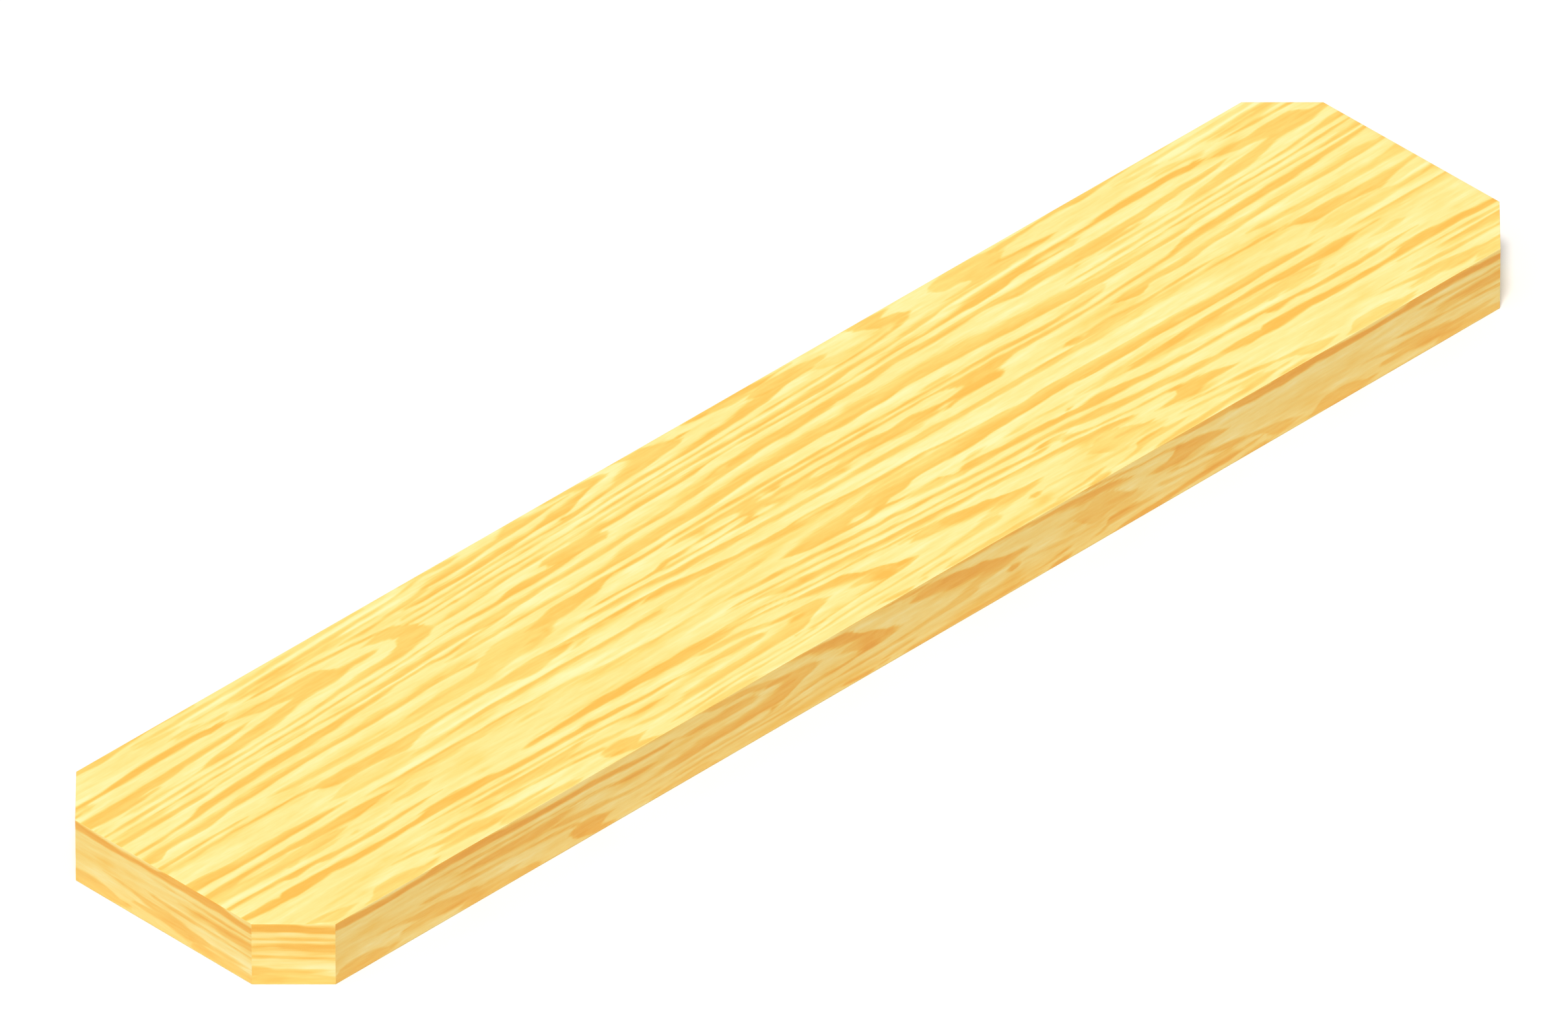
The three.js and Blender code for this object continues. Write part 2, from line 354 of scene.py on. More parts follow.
    (0.0, 0, ((389, 140.2, 3), (392, 140.4, 6), (400, 140.4, 7.8), (410, 140.6, 8.8), (420, 141.4, 9.6),
        (430, 141.6, 10.8), (440, 141.6, 10.4), (446, 142.8, 13.2), (452, 144.8, 17.2), (480, 145, 19.2),
        (500, 148.9, 9.1))),
    (0.9, 0, ((418, 139.5, 0), (432, 139.1, 2.5), (445, 139.1, 3), (460, 138.6, 3), (475, 138.3, 3),
        (484, 138.8, 4.2), (488, 139.8, 5.4), (493, 141.2, 5.2), (500, 141.9, 4), (510, 142, 3.7),
        (520, 142.5, 2.8), (535, 143, 2.6), (545, 143.3, 3.3), (560, 144, 3), (573, 144.8, 3.6))),
    (0.85, 0, ((482, 137.8, 3.5), (490, 136.4, 2.5), (500, 136.2, 2.6), (510, 136.3, 2.6),
        (530, 135.9, 2.1), (545, 136.4, 2.3), (560, 136.8, 3.2), (574, 137.6, 6), (581, 138, 7))),
    (0.72, 0, ((545, 151.3, 2.5), (560, 149.6, 6.5), (572, 147.8, 12.5), (580, 146.3, 17.5),
        (590, 145.3, 18.5), (600, 144.3, 18.5), (612, 143.3, 16), (620, 141.8, 13), (640, 141.8, 13.1),
        (660, 141.8, 13.5), (680, 142, 13.5), (700, 141.7, 11.9), (720, 141, 11.4), (735, 141, 11.9),
        (750, 140, 9.5), (765, 139, 7.5), (778, 141, 11.8), (785, 142.3, 15.4), (800, 143, 15.8),
        (808, 142, 13.6), (813, 141.4, 12.4), (816, 141, 11), (818.5, 140.8, 6), (820.5, 140.8, 0))),
    (0.8, 0, ((774, 150, 0), (780, 149.8, 3.2), (790, 149.7, 4), (800, 149.4, 4.5), (815, 148, 8.2),
        (822, 147.6, 7.4), (828, 147.8, 5.6), (835, 148.4, 3.8), (843, 149, 0))),
    (1.0, 0, ((735, 139.5, 0), (780, 139.8, 4.5), (800, 139.3, 6.5), (812, 139.1, 6), (817, 139.3, 0))),
    (0.6, 0, ((617, 133, 0), (625, 133, 3.6), (640, 133, 5.2), (655, 133, 5.4), (664, 132.8, 4.6),
        (671, 133, 0))),
    (0.1, 0, ((596, 132.3, 1.5), (603, 131.8, 3.8), (613, 131.9, 3.8), (620, 131.6, 2.6), (626, 131.6, 0))),
    (0.1, 0, ((664, 131.8, 3.5), (672, 132.8, 6), (682, 132.8, 6), (722, 130.2, 2.6))),
    (0.35, 0, ((679, 132.9, 0.9), (683, 132.8, 2.7), (687, 132.9, 0.9))),
    (0.45, 0, ((706, 135, 1.5), (724, 133.3, 4.5), (732, 132.8, 3.9), (736, 133, 0))),
    (0.12, 0, ((537, 147.7, 0), (542, 147.6, 3.5), (550, 147.5, 4.3), (560, 147.4, 3.9), (567, 147.2, 2.9),
        (570, 147.2, 0))),
    (0.42, 0, ((593, 152, 0), (597, 151.8, 2.5), (600, 152, 0))),
    (0.15, 0, ((592, 148.2, 0), (597, 148.2, 1.9), (603, 148.2, 2), (608, 148.3, 0))),
    (0.08, 0, ((578.5, 137.6, 0), (582, 137.8, 3), (587, 137.8, 3.2), (591, 137.6, 2.4),
        (594.5, 137.6, 0))),
    (0.4, 0, ((579, 141.3, 0.9), (583, 141, 1.9), (587, 140.9, 0.9))),
    (0.45, 0, ((600, 142.4, 0), (612, 142.2, 3.5), (625, 142.4, 3.5), (640, 142.4, 4.5), (660, 142.2, 4.5),
        (676, 142, 3.5), (690, 142.2, 0))),
    (0.0, 0, ((636, 142.3, 0), (642, 142.1, 3.1), (650, 142.1, 3.7), (656, 142, 3.3), (660, 142.2, 0))),
    (0.2, 0, ((755, 137.6, 0), (760, 137.5, 2.3), (766, 137.5, 1.9), (770, 137.7, 0))),
    (0.95, 0, ((756, 134, 0), (762, 134.6, 2.5), (768, 135.8, 1.9), (774, 136.6, 0))),
    (0.0, 0, ((612, 148.8, 0), (620, 149.6, 3), (628, 149.8, 3.4), (660, 150, 3.2), (700, 149.4, 4),
        (712, 148.4, 5.8), (726, 148.8, 4.4), (740, 148.9, 4.5), (745, 148.3, 6.2), (756, 147.8, 8.4),
        (762, 147.3, 9), (772, 146.6, 7), (776, 145.8, 4.4), (780, 145.4, 2.8), (785, 145.2, 0))),
    (0.5, 0, ((758, 162, 0), (770, 161.6, 3.8), (785, 161.2, 3.8), (797, 160.8, 0))),
    # the middle lines between v = 95 and v = 135
    (0.8, 1, ((404, 132.4, 0), (413, 132.7, 3.6), (425, 132.3, 4.4), (455, 131.3, 5.2), (470, 130.6, 5.2),
        (492, 128.4, 6.6), (520, 127.6, 6.6), (560, 126.2, 5.6), (575, 125.7, 5), (591, 125.3, 0))),
    (0.7, 0, ((556, 126, 0), (575, 125.7, 4.6), (590, 125.3, 4.6), (672, 124.3, 5.6), (682, 124, 6.2),
        (700, 124, 6), (720, 123.8, 6), (745, 123.6, 5.8), (760, 123, 5.5), (825, 122.8, 5.8),
        (840, 122.6, 6), (862, 123, 5.6), (885, 122.6, 3), (893, 122.6, 0))),
    (0.92, 0, ((822, 124.6, 0), (838, 124.4, 1.8), (855, 124.8, 1.9), (868, 124.8, 1.5), (875, 124.8, 0))),
    (0.55, 0, ((868, 122.6, 0), (876, 122.4, 4.6), (886, 122, 6.6), (900, 122.2, 6.8), (920, 122.4, 7.2),
        (932, 122.8, 7.2), (943, 123.8, 5.6), (960, 124, 5), (1003, 125, 3.4), (1018, 125, 2.6),
        (1031, 124.8, 0))),
    (0.8, 0, ((867, 129.4, 0), (869.5, 129.4, 3.2), (874, 129, 5.8), (880, 128.6, 6.7), (900, 128.7, 7.5),
        (915, 128.8, 7.5), (930, 128.4, 5.5), (943, 128.4, 4), (973, 129.6, 3.2), (1003, 130.6, 2.4),
        (1016, 130.6, 1.8), (1028, 130.4, 0))),
    (0.5, 0, ((884, 131, 0), (889, 130.3, 3.1), (894, 131, 0))),
    (0.8, 0, ((62, 125.2, 0), (75, 124.8, 2.2), (90, 124.3, 2.8), (125, 123.8, 2.6), (140, 123, 4))),
    (0.7, 0, ((132, 122.6, 1.5), (140, 122.2, 3.4), (147, 120.5, 8.4), (156, 119, 11.2), (165, 119, 11.4),
        (188, 118.4, 10.4), (210, 116.3, 12), (217, 115.9, 12.2), (224, 116.8, 10.4), (232, 118, 8),
        (258, 120.2, 3.8), (270, 120.5, 3.6), (300, 120.5, 4.8), (312, 120, 7), (325, 119.5, 9.4),
        (335, 118.6, 13), (343, 118.2, 14), (352, 119.2, 12.6), (360, 119.6, 10), (370, 119.6, 7.6),
        (378, 119.8, 4.5), (384, 120, 0))),
    (0.0, 0, ((108, 127.8, 0), (140, 127.8, 2.6), (170, 127.6, 3.2), (195, 127, 4.6), (220, 126.4, 4),
        (246, 126.6, 0))),
    (0.9, 1, ((365, 123.9, 0.9), (390, 122.7, 3), (420, 122.5, 3.2), (445, 122.3, 3.2), (468, 121.9, 1.8),
        (477, 121.4, 0))),
    (0.6, 0, ((376, 113.6, 0), (385, 114.8, 3), (394, 116, 1.4))),
    (0.8, 1, ((446, 117.4, 0), (456, 118.4, 5), (466, 119, 7.6), (492, 116.8, 6.8), (500, 115.6, 6.8),
        (520, 112.2, 8.2), (536, 110.8, 6.8), (550, 110.9, 6.2), (560, 110.1, 5.6), (572, 110.2, 6.2),
        (582, 110, 5.9), (592, 110.4, 7.1), (600, 110.4, 6.9), (612, 110.4, 6.5), (622, 110.1, 6.3),
        (640, 109.2, 4), (660, 108.3, 4.1), (680, 108.2, 3.5), (700, 108, 3.5), (716, 107.7, 3.5),
        (722, 106.7, 3.2), (745, 105, 3), (760, 103.9, 3.1), (790, 102.9, 3), (797, 102.1, 2.8),
        (805, 101.7, 2.8), (820, 102.9, 3.3), (832, 103.3, 3.4), (845, 102.9, 3.2), (880, 102.6, 2.8),
        (900, 102.1, 2.6), (940, 102, 2.5), (955, 102.2, 2.1), (968, 100.8, 2), (980, 99.6, 1.8),
        (990, 99.4, 0))),
    (0.45, 0, ((590, 111.6, 0), (600, 111.4, 1.9), (615, 111.2, 1.9), (628, 111.2, 0))),
    (0.45, 0, ((424, 107.4, 0), (440, 107, 2), (455, 106.4, 4), (480, 107.6, 3.5), (500, 109, 3.5),
        (545, 108.4, 3.5))),
    (0.42, 0, ((138, 104, 0), (152, 104.6, 8), (175, 105.4, 13), (200, 104.6, 13), (213, 103.8, 9.5),
        (224, 102.6, 5), (236, 101.8, 0))),
    (0.52, 0, ((214, 102.8, 0), (226, 102.4, 3.4), (242, 103, 4.2), (256, 103.8, 4.4), (268, 104.6, 4.2),
        (280, 104.8, 0))),
    (0.75, 1, ((250, 102.9, 0), (262, 103.4, 2.2), (272, 103.8, 4.4), (285, 104.4, 5.2), (320, 103.8, 5.3),
        (345, 103.6, 5.2), (360, 103.8, 5.2), (400, 103.1, 4.5), (440, 103.1, 5), (450, 103.1, 4),
        (457, 103, 0))),
    (0.42, 0, ((640, 100, 0), (655, 100.3, 5.5), (680, 100.2, 8.5), (705, 99.6, 9.5), (730, 98.8, 10.5),
        (760, 98.3, 10.5), (785, 98.3, 9.5))),
    (0.62, 0, ((735, 98.6, 8.5), (760, 98.6, 10.5), (790, 98.4, 9.5), (812, 99, 8.5), (840, 99.4, 7.5),
        (860, 98.6, 9.5), (900, 98.2, 9.9), (920, 98.4, 9.5), (943, 98.1, 10.2), (958, 98, 10),
        (976, 96.6, 7.8), (1003, 96.8, 7.8), (1033, 96.8, 7), (1050, 96.4, 6.4), (1063, 95.9, 4.8),
        (1081, 95.9, 1.8), (1088, 96.2, 0))),
    (0.9, -1, ((716, 94, 5.5), (740, 93.3, 5.4), (750, 93.6, 4.8), (760, 94, 3.4), (775, 94.1, 3),
        (790, 94.6, 3), (800, 94.7, 3.2), (812, 95.5, 3.2), (832, 96.6, 3.4), (840, 96.6, 3.4),
        (848, 95.5, 3.8), (862, 93.9, 2.8), (870, 94.1, 2.4), (890, 93.8, 2.2), (905, 94.2, 3.2),
        (918, 95.1, 3.4), (928, 95.1, 3.4), (938, 94.2, 2.6), (958, 94.1, 2.7), (978, 93.7, 2.7),
        (1073, 95.4, 1.5))),
    # the bands between v = 62 and v = 98
    (0.52, 1, ((158, 91.6, 0), (175, 90.6, 3), (200, 89.4, 5), (240, 88.3, 7), (300, 87.8, 7.6),
        (320, 87.2, 6.9), (360, 86.6, 4.5), (382, 83.9, 2.9), (396, 83.5, 3), (406, 82.9, 3.2),
        (416, 81.9, 3.4), (426, 81.5, 3.2), (458, 82.6, 3), (483, 83.4, 0))),
    (0.85, 0, ((176, 91.5, 0), (190, 91.4, 1.4), (240, 91.2, 1.5), (290, 91.2, 1.4), (316, 90.8, 0))),
    (0.0, 0, ((424, 86.5, 0), (428, 86.3, 3.5), (432, 86.3, 3.5), (436, 86.5, 0))),
    (0.86, 0, ((866, 80.8, 0), (876, 80.4, 4), (886, 79.8, 6.4), (900, 79.9, 7.4), (912, 80.5, 8.1),
        (930, 80.6, 8.1), (943, 81, 9.2), (960, 82.1, 8.5), (975, 83.4, 6.7), (1003, 84.2, 5.4),
        (1020, 84.2, 5.4), (1035, 83, 7.6), (1060, 82.9, 8), (1075, 82.5, 9.2), (1083, 82.4, 9.6),
        (1093, 83, 7.6), (1108, 83.8, 4), (1131, 84.2, 0))),
    (0.46, 0, ((832, 83.6, 0), (850, 83.4, 3), (870, 84, 3.4), (890, 84.8, 3.6), (925, 85.8, 1.6),
        (937, 86.2, 0))),
    (0.56, 0, ((900, 76.8, 1.5), (915, 76.1, 3.1), (930, 74.8, 5.5), (943, 75.9, 7.9), (973, 75, 9.2),
        (1003, 74.4, 9.6), (1033, 74.8, 9.2), (1053, 74.6, 7), (1067, 75, 0))),
    (0.28, 0, ((28, 80.5, 0), (40, 80.2, 2.8), (65, 80, 2.6), (76, 80.2, 0))),
    (0.55, 0, ((59, 69.6, 0), (66, 69, 3.4), (72, 69.4, 3), (77, 70, 0))),
    (0.5, 0, ((76, 68.2, 0), (84, 68.6, 2.8), (95, 68.8, 3.2), (105, 68.8, 3), (114, 68.6, 0))),
    (0.5, 0, ((122, 66.9, 0.9), (125, 66.8, 2.3), (128, 66.9, 0.9))),
    (0.5, 0, ((150, 64.9, 0.9), (153, 64.8, 2.3), (156, 64.9, 0.9))),
    (0.55, 0, ((165, 73, 0), (175, 72.8, 3.5), (200, 73, 2.5), (203, 73, 0))),
    (0.5, 0, ((474, 94.2, 0), (490, 95, 2.4), (520, 95.4, 4), (535, 96.4, 3), (549, 97, 0))),
    (0.45, 0, ((450, 94.2, 0), (465, 94, 1.4), (480, 94.4, 1.6))),
    (0.75, -1, ((551, 88.6, 0), (558, 88.6, 4), (574, 88.4, 11.4), (590, 88.7, 14.4), (605, 88.8, 16.4),
        (620, 88.7, 17.6), (635, 89.5, 19.3), (645, 90.6, 17.4), (655, 92, 11.8), (671, 92.6, 10.4),
        (677, 93.1, 8.6), (682, 93.8, 6.6), (705, 94.1, 5), (722, 94.1, 5.7))),
    (0.84, 0, ((640, 82.7, 4.1), (650, 82.2, 3.5), (660, 80.9, 2.8), (680, 80, 2.9), (690, 79.3, 3.3),
        (699, 78.6, 3.6), (703, 75.9, 4.7), (707, 74.2, 5.1), (712, 73.9, 5.1), (717, 75, 7),
        (724, 75.6, 8.2), (730, 75.4, 8), (750, 74.2, 5.6), (765, 73.3, 5.7), (780, 72.8, 5.8),
        (790, 72.2, 6.3), (799, 71.8, 6.4), (804, 71.2, 5.6), (812, 70.7, 5.4), (819, 70, 5.6),
        (824, 69.1, 6.6), (830, 69, 7.4), (836, 69.1, 8.8), (850, 69, 9), (865, 67.5, 7.6),
        (882, 65.3, 5.6), (905, 63.8, 4.6), (918, 63.4, 4.4), (928, 62.7, 3.3), (943, 62.8, 3.6),
        (984, 62.1, 3.7), (994, 61.9, 3.6), (999, 60.3, 6), (1009, 60, 5.8), (1016, 60.5, 4),
        (1024, 60.4, 3.5), (1030, 59.3, 4.9), (1043, 58.4, 4.3), (1078, 57.8, 5), (1093, 58.1, 4),
        (1113, 59.3, 3), (1128, 59.8, 2), (1143, 60, 0))),
    (0.98, 0, ((744, 74.3, 0.9), (758, 73.4, 3.5), (775, 73.2, 4.3), (790, 73.2, 3.5), (800, 72.4, 2.9),
        (812, 72.4, 2.5), (820, 72.6, 0))),
    (0.55, 0, ((661, 78.8, 0), (672, 78.2, 4.4), (684, 77.2, 6.2), (700, 75.1, 5.6), (704, 74.2, 4.4),
        (710, 73.6, 3.2), (716, 73.4, 0))),
    (0.95, 0, ((813.5, 75.4, 0), (816.5, 75.2, 2.6), (820, 75.2, 2.6), (823.5, 75.6, 0))),
    (0.04, 0, ((618, 85.4, 0), (621.5, 85.6, 2.4), (627, 85.6, 2.7), (631.5, 85.8, 2), (635, 86.1, 0))),
    (0.55, 0, ((722, 82.6, 0), (730, 83, 3.8), (738, 83.6, 3.6), (747, 84.4, 0))),
    (0.48, 0, ((764, 82.4, 0), (772, 82.6, 3.2), (787, 83.4, 2.4), (794, 83.6, 0))),
    (0.45, 0, ((793, 83.6, 2.5), (805, 82.4, 2.3), (820, 81.6, 2), (832, 81.4, 0))),
    (0.5, 0, ((838, 81, 0), (850, 81, 3.6), (862, 81.2, 4), (874, 80.8, 4.6), (885, 80.4, 0))),
    # lines descending to the nested arches of the near edge
    (0.76, 0, ((478, 81.4, 0), (490, 81.2, 1.4), (510, 79.7, 3.6), (530, 78.2, 5.2), (560, 76.6, 4.2),
        (580, 74.4, 3.7), (590, 73, 4.5), (600, 72.4, 4.3), (610, 71.8, 4.3), (620, 71.3, 3.9),
        (626, 70.6, 2.9), (632, 70.4, 2.7), (638, 70.7, 4.1), (645, 70.3, 4.3), (652, 69.5, 4.2),
        (690, 66.9, 3.9), (705, 65.7, 3.8), (725, 64.6, 3.6), (745, 63.6, 3.7), (762, 63.5, 3.8),
        (785, 62.9, 3.9), (800, 61.9, 4.9), (812, 59.8, 7.3), (830, 57.2, 8.8), (848, 54.9, 7.6),
        (854, 54.3, 6.8), (860, 53.3, 6.4), (870, 52.7, 5.8), (890, 51, 6.8), (900, 49.7, 6.6),
        (912, 49, 7), (922, 48.3, 6.4), (930, 47.6, 5.2), (943, 47.4, 5.1), (963, 46.6, 6.3))),
    (1.0, 0, ((528, 78.4, 0), (536, 78.2, 2.6), (544, 77.6, 0))),
    (1.0, 0, ((578, 74.6, 0), (588, 74, 2.4), (596, 73.4, 0))),
    (0.95, 0, ((664, 68.4, 1.5), (671, 68.4, 2.3), (677, 68.4, 1.5))),
    (0.84, 0, ((484, 72.2, 0), (498, 71.4, 2.1), (512, 70.7, 2.3), (540, 68.8, 2.5), (565, 67.6, 2.5),
        (600, 64, 2.9), (640, 60.9, 3.5), (655, 59.6, 3.1), (670, 59.1, 2.5), (685, 58.1, 2.4),
        (705, 57, 3.6), (725, 56.2, 3.9), (750, 54.2, 3.6), (768, 52.9, 3), (774, 53.2, 2.2),
        (779, 53.4, 0))),
    (0.95, 0, ((764, 57, 0), (769, 57.2, 2), (775, 57, 3.8), (780, 57.2, 3), (786, 57.8, 1.8),
        (792, 57.6, 1.6), (796, 57, 0))),
    (0.43, 0, ((779, 56.4, 0), (785, 56.2, 3.4), (790, 55, 5), (795, 53.4, 5.6), (799, 51.6, 4))),
    (0.8, 0, ((788, 51.4, 2.3), (800, 50.4, 3), (810, 48.3, 2.6), (835, 45.6, 2.4), (850, 43.8, 2),
        (870, 42.9, 2.6), (880, 42.4, 2.4), (895, 40.8, 2.4))),
    (0.6, 0, ((480, 69.6, 0), (490, 69, 1.4), (510, 67, 2.4), (530, 63, 7.4), (545, 61, 8),
        (560, 58.7, 6.9))),
    (0.8, 1, ((546, 60.8, 5.5), (560, 58.6, 6.5), (575, 57.6, 6.4), (590, 56.6, 6.4), (610, 54.5, 6),
        (630, 53, 5.8), (650, 52, 5.8), (670, 50.8, 4.6), (690, 49.6, 4), (710, 49.1, 3.6),
        (730, 48.1, 3.8), (745, 47.3, 3.7), (760, 46.1, 4.4), (775, 45, 5.2), (800, 42.2, 7.2),
        (827, 39.6, 6.4), (843, 37.8, 3), (849, 37.8, 0))),
    (0.88, 0, ((270, 54.6, 0), (282, 55, 3.8), (300, 55.7, 4.7), (320, 56.1, 5.1), (340, 56.2, 7.3),
        (355, 56.4, 8.5), (368, 55.8, 7.7), (380, 55.8, 7.9), (400, 55.2, 8.7), (446, 54.9, 9.7),
        (470, 55, 6.1), (478, 55, 3.5))),
    (0.85, 0, ((455, 58, 2.5), (470, 58.4, 2.1), (480, 58.3, 1.7), (500, 58.5, 2.8), (520, 55.6, 1.9),
        (535, 53.3, 2), (555, 51.8, 1.7), (600, 49.6, 1.8), (620, 47.7, 1.9), (640, 46.3, 2.1),
        (660, 44, 2.5))),
    (0.48, 0, ((468, 56, 0), (480, 56.2, 3.4), (492, 56.6, 3), (505, 55.8, 0))),
    (0.8, 1, ((455, 53.8, 2.9), (490, 53.1, 2.6), (505, 51.8, 3), (529, 48, 3.2), (541, 44.9, 7.4),
        (550, 44, 7.6), (568, 41, 9.8), (574, 39.3, 9.4), (580, 36, 7.2), (588, 32.8, 8.4),
        (595, 30.2, 10.2), (607, 26.8, 6.6), (613, 26.4, 5), (620, 26.2, 0))),
    (0.95, 0, ((607, 27.1, 1.5), (613, 26.8, 3.9), (620, 26.7, 0))),
    (0.85, 0, ((560, 45.6, 1.5), (566, 45.8, 2.1), (573, 45.6, 0))),
    (0.6, 0, ((558, 31.6, 0), (564, 31.4, 2.6), (572, 31.4, 6), (580, 30, 10), (588, 28.4, 12.4),
        (596, 27.2, 12), (603, 27, 0))),
    (0.85, -1, ((508, 17, 0), (514, 17.3, 2.1), (520, 17.6, 2.4), (530, 18.5, 2.3), (560, 20.6, 2.6),
        (575, 21.2, 2.6), (590, 22.2, 2.6), (608, 23.5, 3.2), (614, 24, 2.8), (622, 24.6, 0))),
    (0.55, 0, ((368, 12.2, 0), (385, 12.6, 1.3), (400, 12.9, 1.7), (412, 13.9, 1.9), (440, 14.2, 1.8),
        (465, 14, 1.7), (490, 13.6, 1.5), (505, 14.2, 1.8), (515, 15.8, 2.1))),
    (0.66, 0, ((366, 6.2, 0), (378, 6.6, 2.4), (400, 7.4, 2.1), (415, 8.7, 2.1), (430, 9.5, 2.1),
        (460, 9.6, 1.7), (510, 10.4, 1.8), (540, 12.7, 2.3), (560, 13.1, 2.1), (600, 13.7, 2.1),
        (640, 15.1, 2.3))),
    (0.53, 0, ((628, 14.9, 0), (636, 15.7, 2.6), (650, 16.8, 4.2), (662, 17.4, 5.2), (675, 18.6, 7),
        (684, 19.4, 8), (692, 19.6, 6), (698, 19.4, 0))),
    (0.55, 0, ((678, 24.6, 0), (690, 24.8, 4.4), (700, 25.6, 7.6), (715, 27, 7.2), (730, 27.8, 4.4),
        (744, 28.4, 0))),
    (0.8, 1, ((624, 44.6, 0), (632, 44.2, 2), (640, 43.4, 3), (646, 42.4, 5), (652, 40.4, 9),
        (660, 39.5, 10.2), (670, 38.3, 12), (680, 37, 11.2), (686, 36.1, 9.9), (693, 35.1, 9.8),
        (702, 34.1, 10.4), (706, 32.5, 9.6), (712, 31.5, 9.2), (720, 30, 7.8), (730, 30, 5),
        (740, 30.3, 3.1), (748, 30.6, 0))),
    (0.64, 0, ((628, 39.4, 0), (638, 40.2, 6), (648, 40.4, 9), (658, 39.6, 10.4))),
    (0.62, 0, ((430, 49, 0), (437, 47.8, 3), (446, 47.2, 4.8), (468, 45.4, 5.4), (480, 43.8, 5.2),
        (486, 42.2, 4.6), (492, 41, 4.4), (500, 39.1, 4.8), (510, 38, 4.8), (520, 36.8, 5.6),
        (530, 35.4, 7), (537, 34.4, 6.8), (545, 34, 0))),
    (0.7, -1, ((375, 18.4, 0), (385, 18.3, 3), (398, 20.2, 6.4), (410, 21.3, 8.4), (425, 22.3, 8.8),
        (440, 22.7, 8.1), (455, 23.2, 8.3), (470, 23.7, 8.2), (490, 25.2, 10.2), (500, 25.8, 12),
        (507, 27.4, 14.2), (522, 31.4, 10.5), (530, 33.4, 8.9), (538, 34.3, 6.5))),
    (0.9, 0, ((492, 38.8, 1), (500, 39.1, 2.2), (513, 38.6, 1.4))),
    (0.85, 0, ((505, 31.8, 1.5), (512, 31.8, 2.7), (518, 31.8, 1.5))),
    (1.0, 0, ((495.5, 17.8, 1), (498, 17.8, 2.2), (502, 17.8, 1))),
    (0.85, 0, ((722, 19.3, 0), (727, 19.3, 4.5), (732, 19.4, 4.3), (737, 19.6, 0))),
    # the near edge
    (0.92, 0, ((943, 47.4, 5.3), (953, 46.7, 6.4), (963, 45.9, 7.8), (973, 45.9, 7.4), (978, 45.2, 6.8),
        (982, 46.4, 8.9), (987, 46.2, 10.2), (1000, 46.6, 9.6), (1013, 46.9, 8.5), (1023, 47.3, 7),
        (1033, 46.4, 7.3), (1063, 45.2, 5.4), (1093, 45.3, 4.5), (1111, 45.8, 5.3), (1120, 47, 7.9),
        (1135, 47.5, 8.7), (1158, 47, 8.2), (1176, 46.2, 6.8), (1184, 45, 6), (1198, 44.3, 5.8),
        (1213, 43.5, 5), (1243, 42.9, 4.8))),
    (0.85, 0, ((168, 50.8, 0), (174, 51, 2), (190, 51.2, 2.2), (208, 51.1, 2), (216, 50.9, 0))),
    (0.92, 0, ((298, 42.9, 4.8), (312, 42.9, 5), (326, 43.2, 5.4), (331, 42.8, 4.3), (337, 42.2, 4.5),
        (345, 41.9, 4.9), (366, 40.1, 3.8), (380, 39.7, 3.2), (400, 39.4, 2.7), (413, 39.1, 0))),
    (0.7, 0, ((403, 38.5, 0), (415, 38, 3.4), (430, 37.4, 4.4), (440, 37.2, 5.4), (450, 36.6, 6.8),
        (460, 36.3, 7.3), (472, 36, 7.2), (480, 35.4, 5.4), (486, 35, 0))),
    (0.7, 0, ((160, 39.2, 0), (180, 38.8, 1.4), (215, 37.6, 2.4), (228, 37.2, 2.8), (250, 36.8, 2.4),
        (300, 35.8, 2), (325, 34.3, 2.8), (340, 32.9, 2.5), (356, 30.4, 3.1), (364, 29.8, 3.7),
        (374, 29.8, 3), (386, 29.7, 0))),
    (0.75, 1, ((190, 32.5, 0), (215, 31.4, 4), (235, 30.1, 6.8), (250, 29.8, 7.1), (275, 29.5, 7.7),
        (292, 30, 6.5), (305, 31.8, 3.5), (315, 32, 0))),
    (0.6, 0, ((284, 25.4, 0), (292, 25, 3), (315, 23, 4.8), (330, 21.6, 4), (345, 20.4, 2.7),
        (355, 19, 2.7), (362, 18.1, 3.3), (380, 18, 3), (395, 18.4, 3), (408, 19, 0))),
    (0.7, 0, ((157, 26.1, 0), (163, 25.2, 2.2), (185, 23.8, 3.6), (200, 23, 3), (220, 22.6, 2.4),
        (280, 19.6, 2.3), (295, 18.6, 2.5), (305, 17.6, 3), (312, 15.8, 4.5))),
    (0.7, 0, ((303.5, 10.8, 0), (306, 10.4, 6), (311, 10, 10.5), (318, 9.4, 13), (326, 8.9, 14.2),
        (332, 9.4, 10.4), (337, 10.2, 5), (347, 10.8, 0))),
    (0.75, 0, ((321, 1.6, 0), (327, 2.2, 3.6), (347, 1.2, 2), (351, 0.4, 0))),
    (0.65, 0, ((116, 21.6, 0), (128, 20.6, 1.8), (142, 19.2, 2.4), (162, 16.3, 6), (180, 15.4, 7),
        (190, 13, 9.1), (200, 11, 9), (208, 11.1, 7.4), (213, 10.9, 6.4), (217, 10.6, 4.4),
        (228, 10.7, 4.2), (240, 10.9, 3.4), (250, 11.2, 2.3), (258, 11.3, 0))),
    (0.8, 0, ((146, 11.5, 0.9), (155, 11.4, 2.5), (175, 11.4, 2.9), (186, 11.8, 2.5))),
    (0.55, 0, ((144, 9.9, 0.9), (155, 10.2, 3.5), (175, 11, 6), (186, 9.6, 7), (196, 9, 5.6))),
    (0.75, 0, ((123, 5.1, 0.9), (127, 4.6, 2.9), (135, 4.6, 3.1), (140, 5.2, 1.9), (144, 5.6, 0))),
    (0.54, 0, ((72, 1.6, 0), (80, 2.6, 5), (86, 5, 9.6), (100, 5.8, 11.8), (120, 4.6, 10), (127, 4.2, 6.6),
        (133, 3.4, 4), (140, 3, 0))),
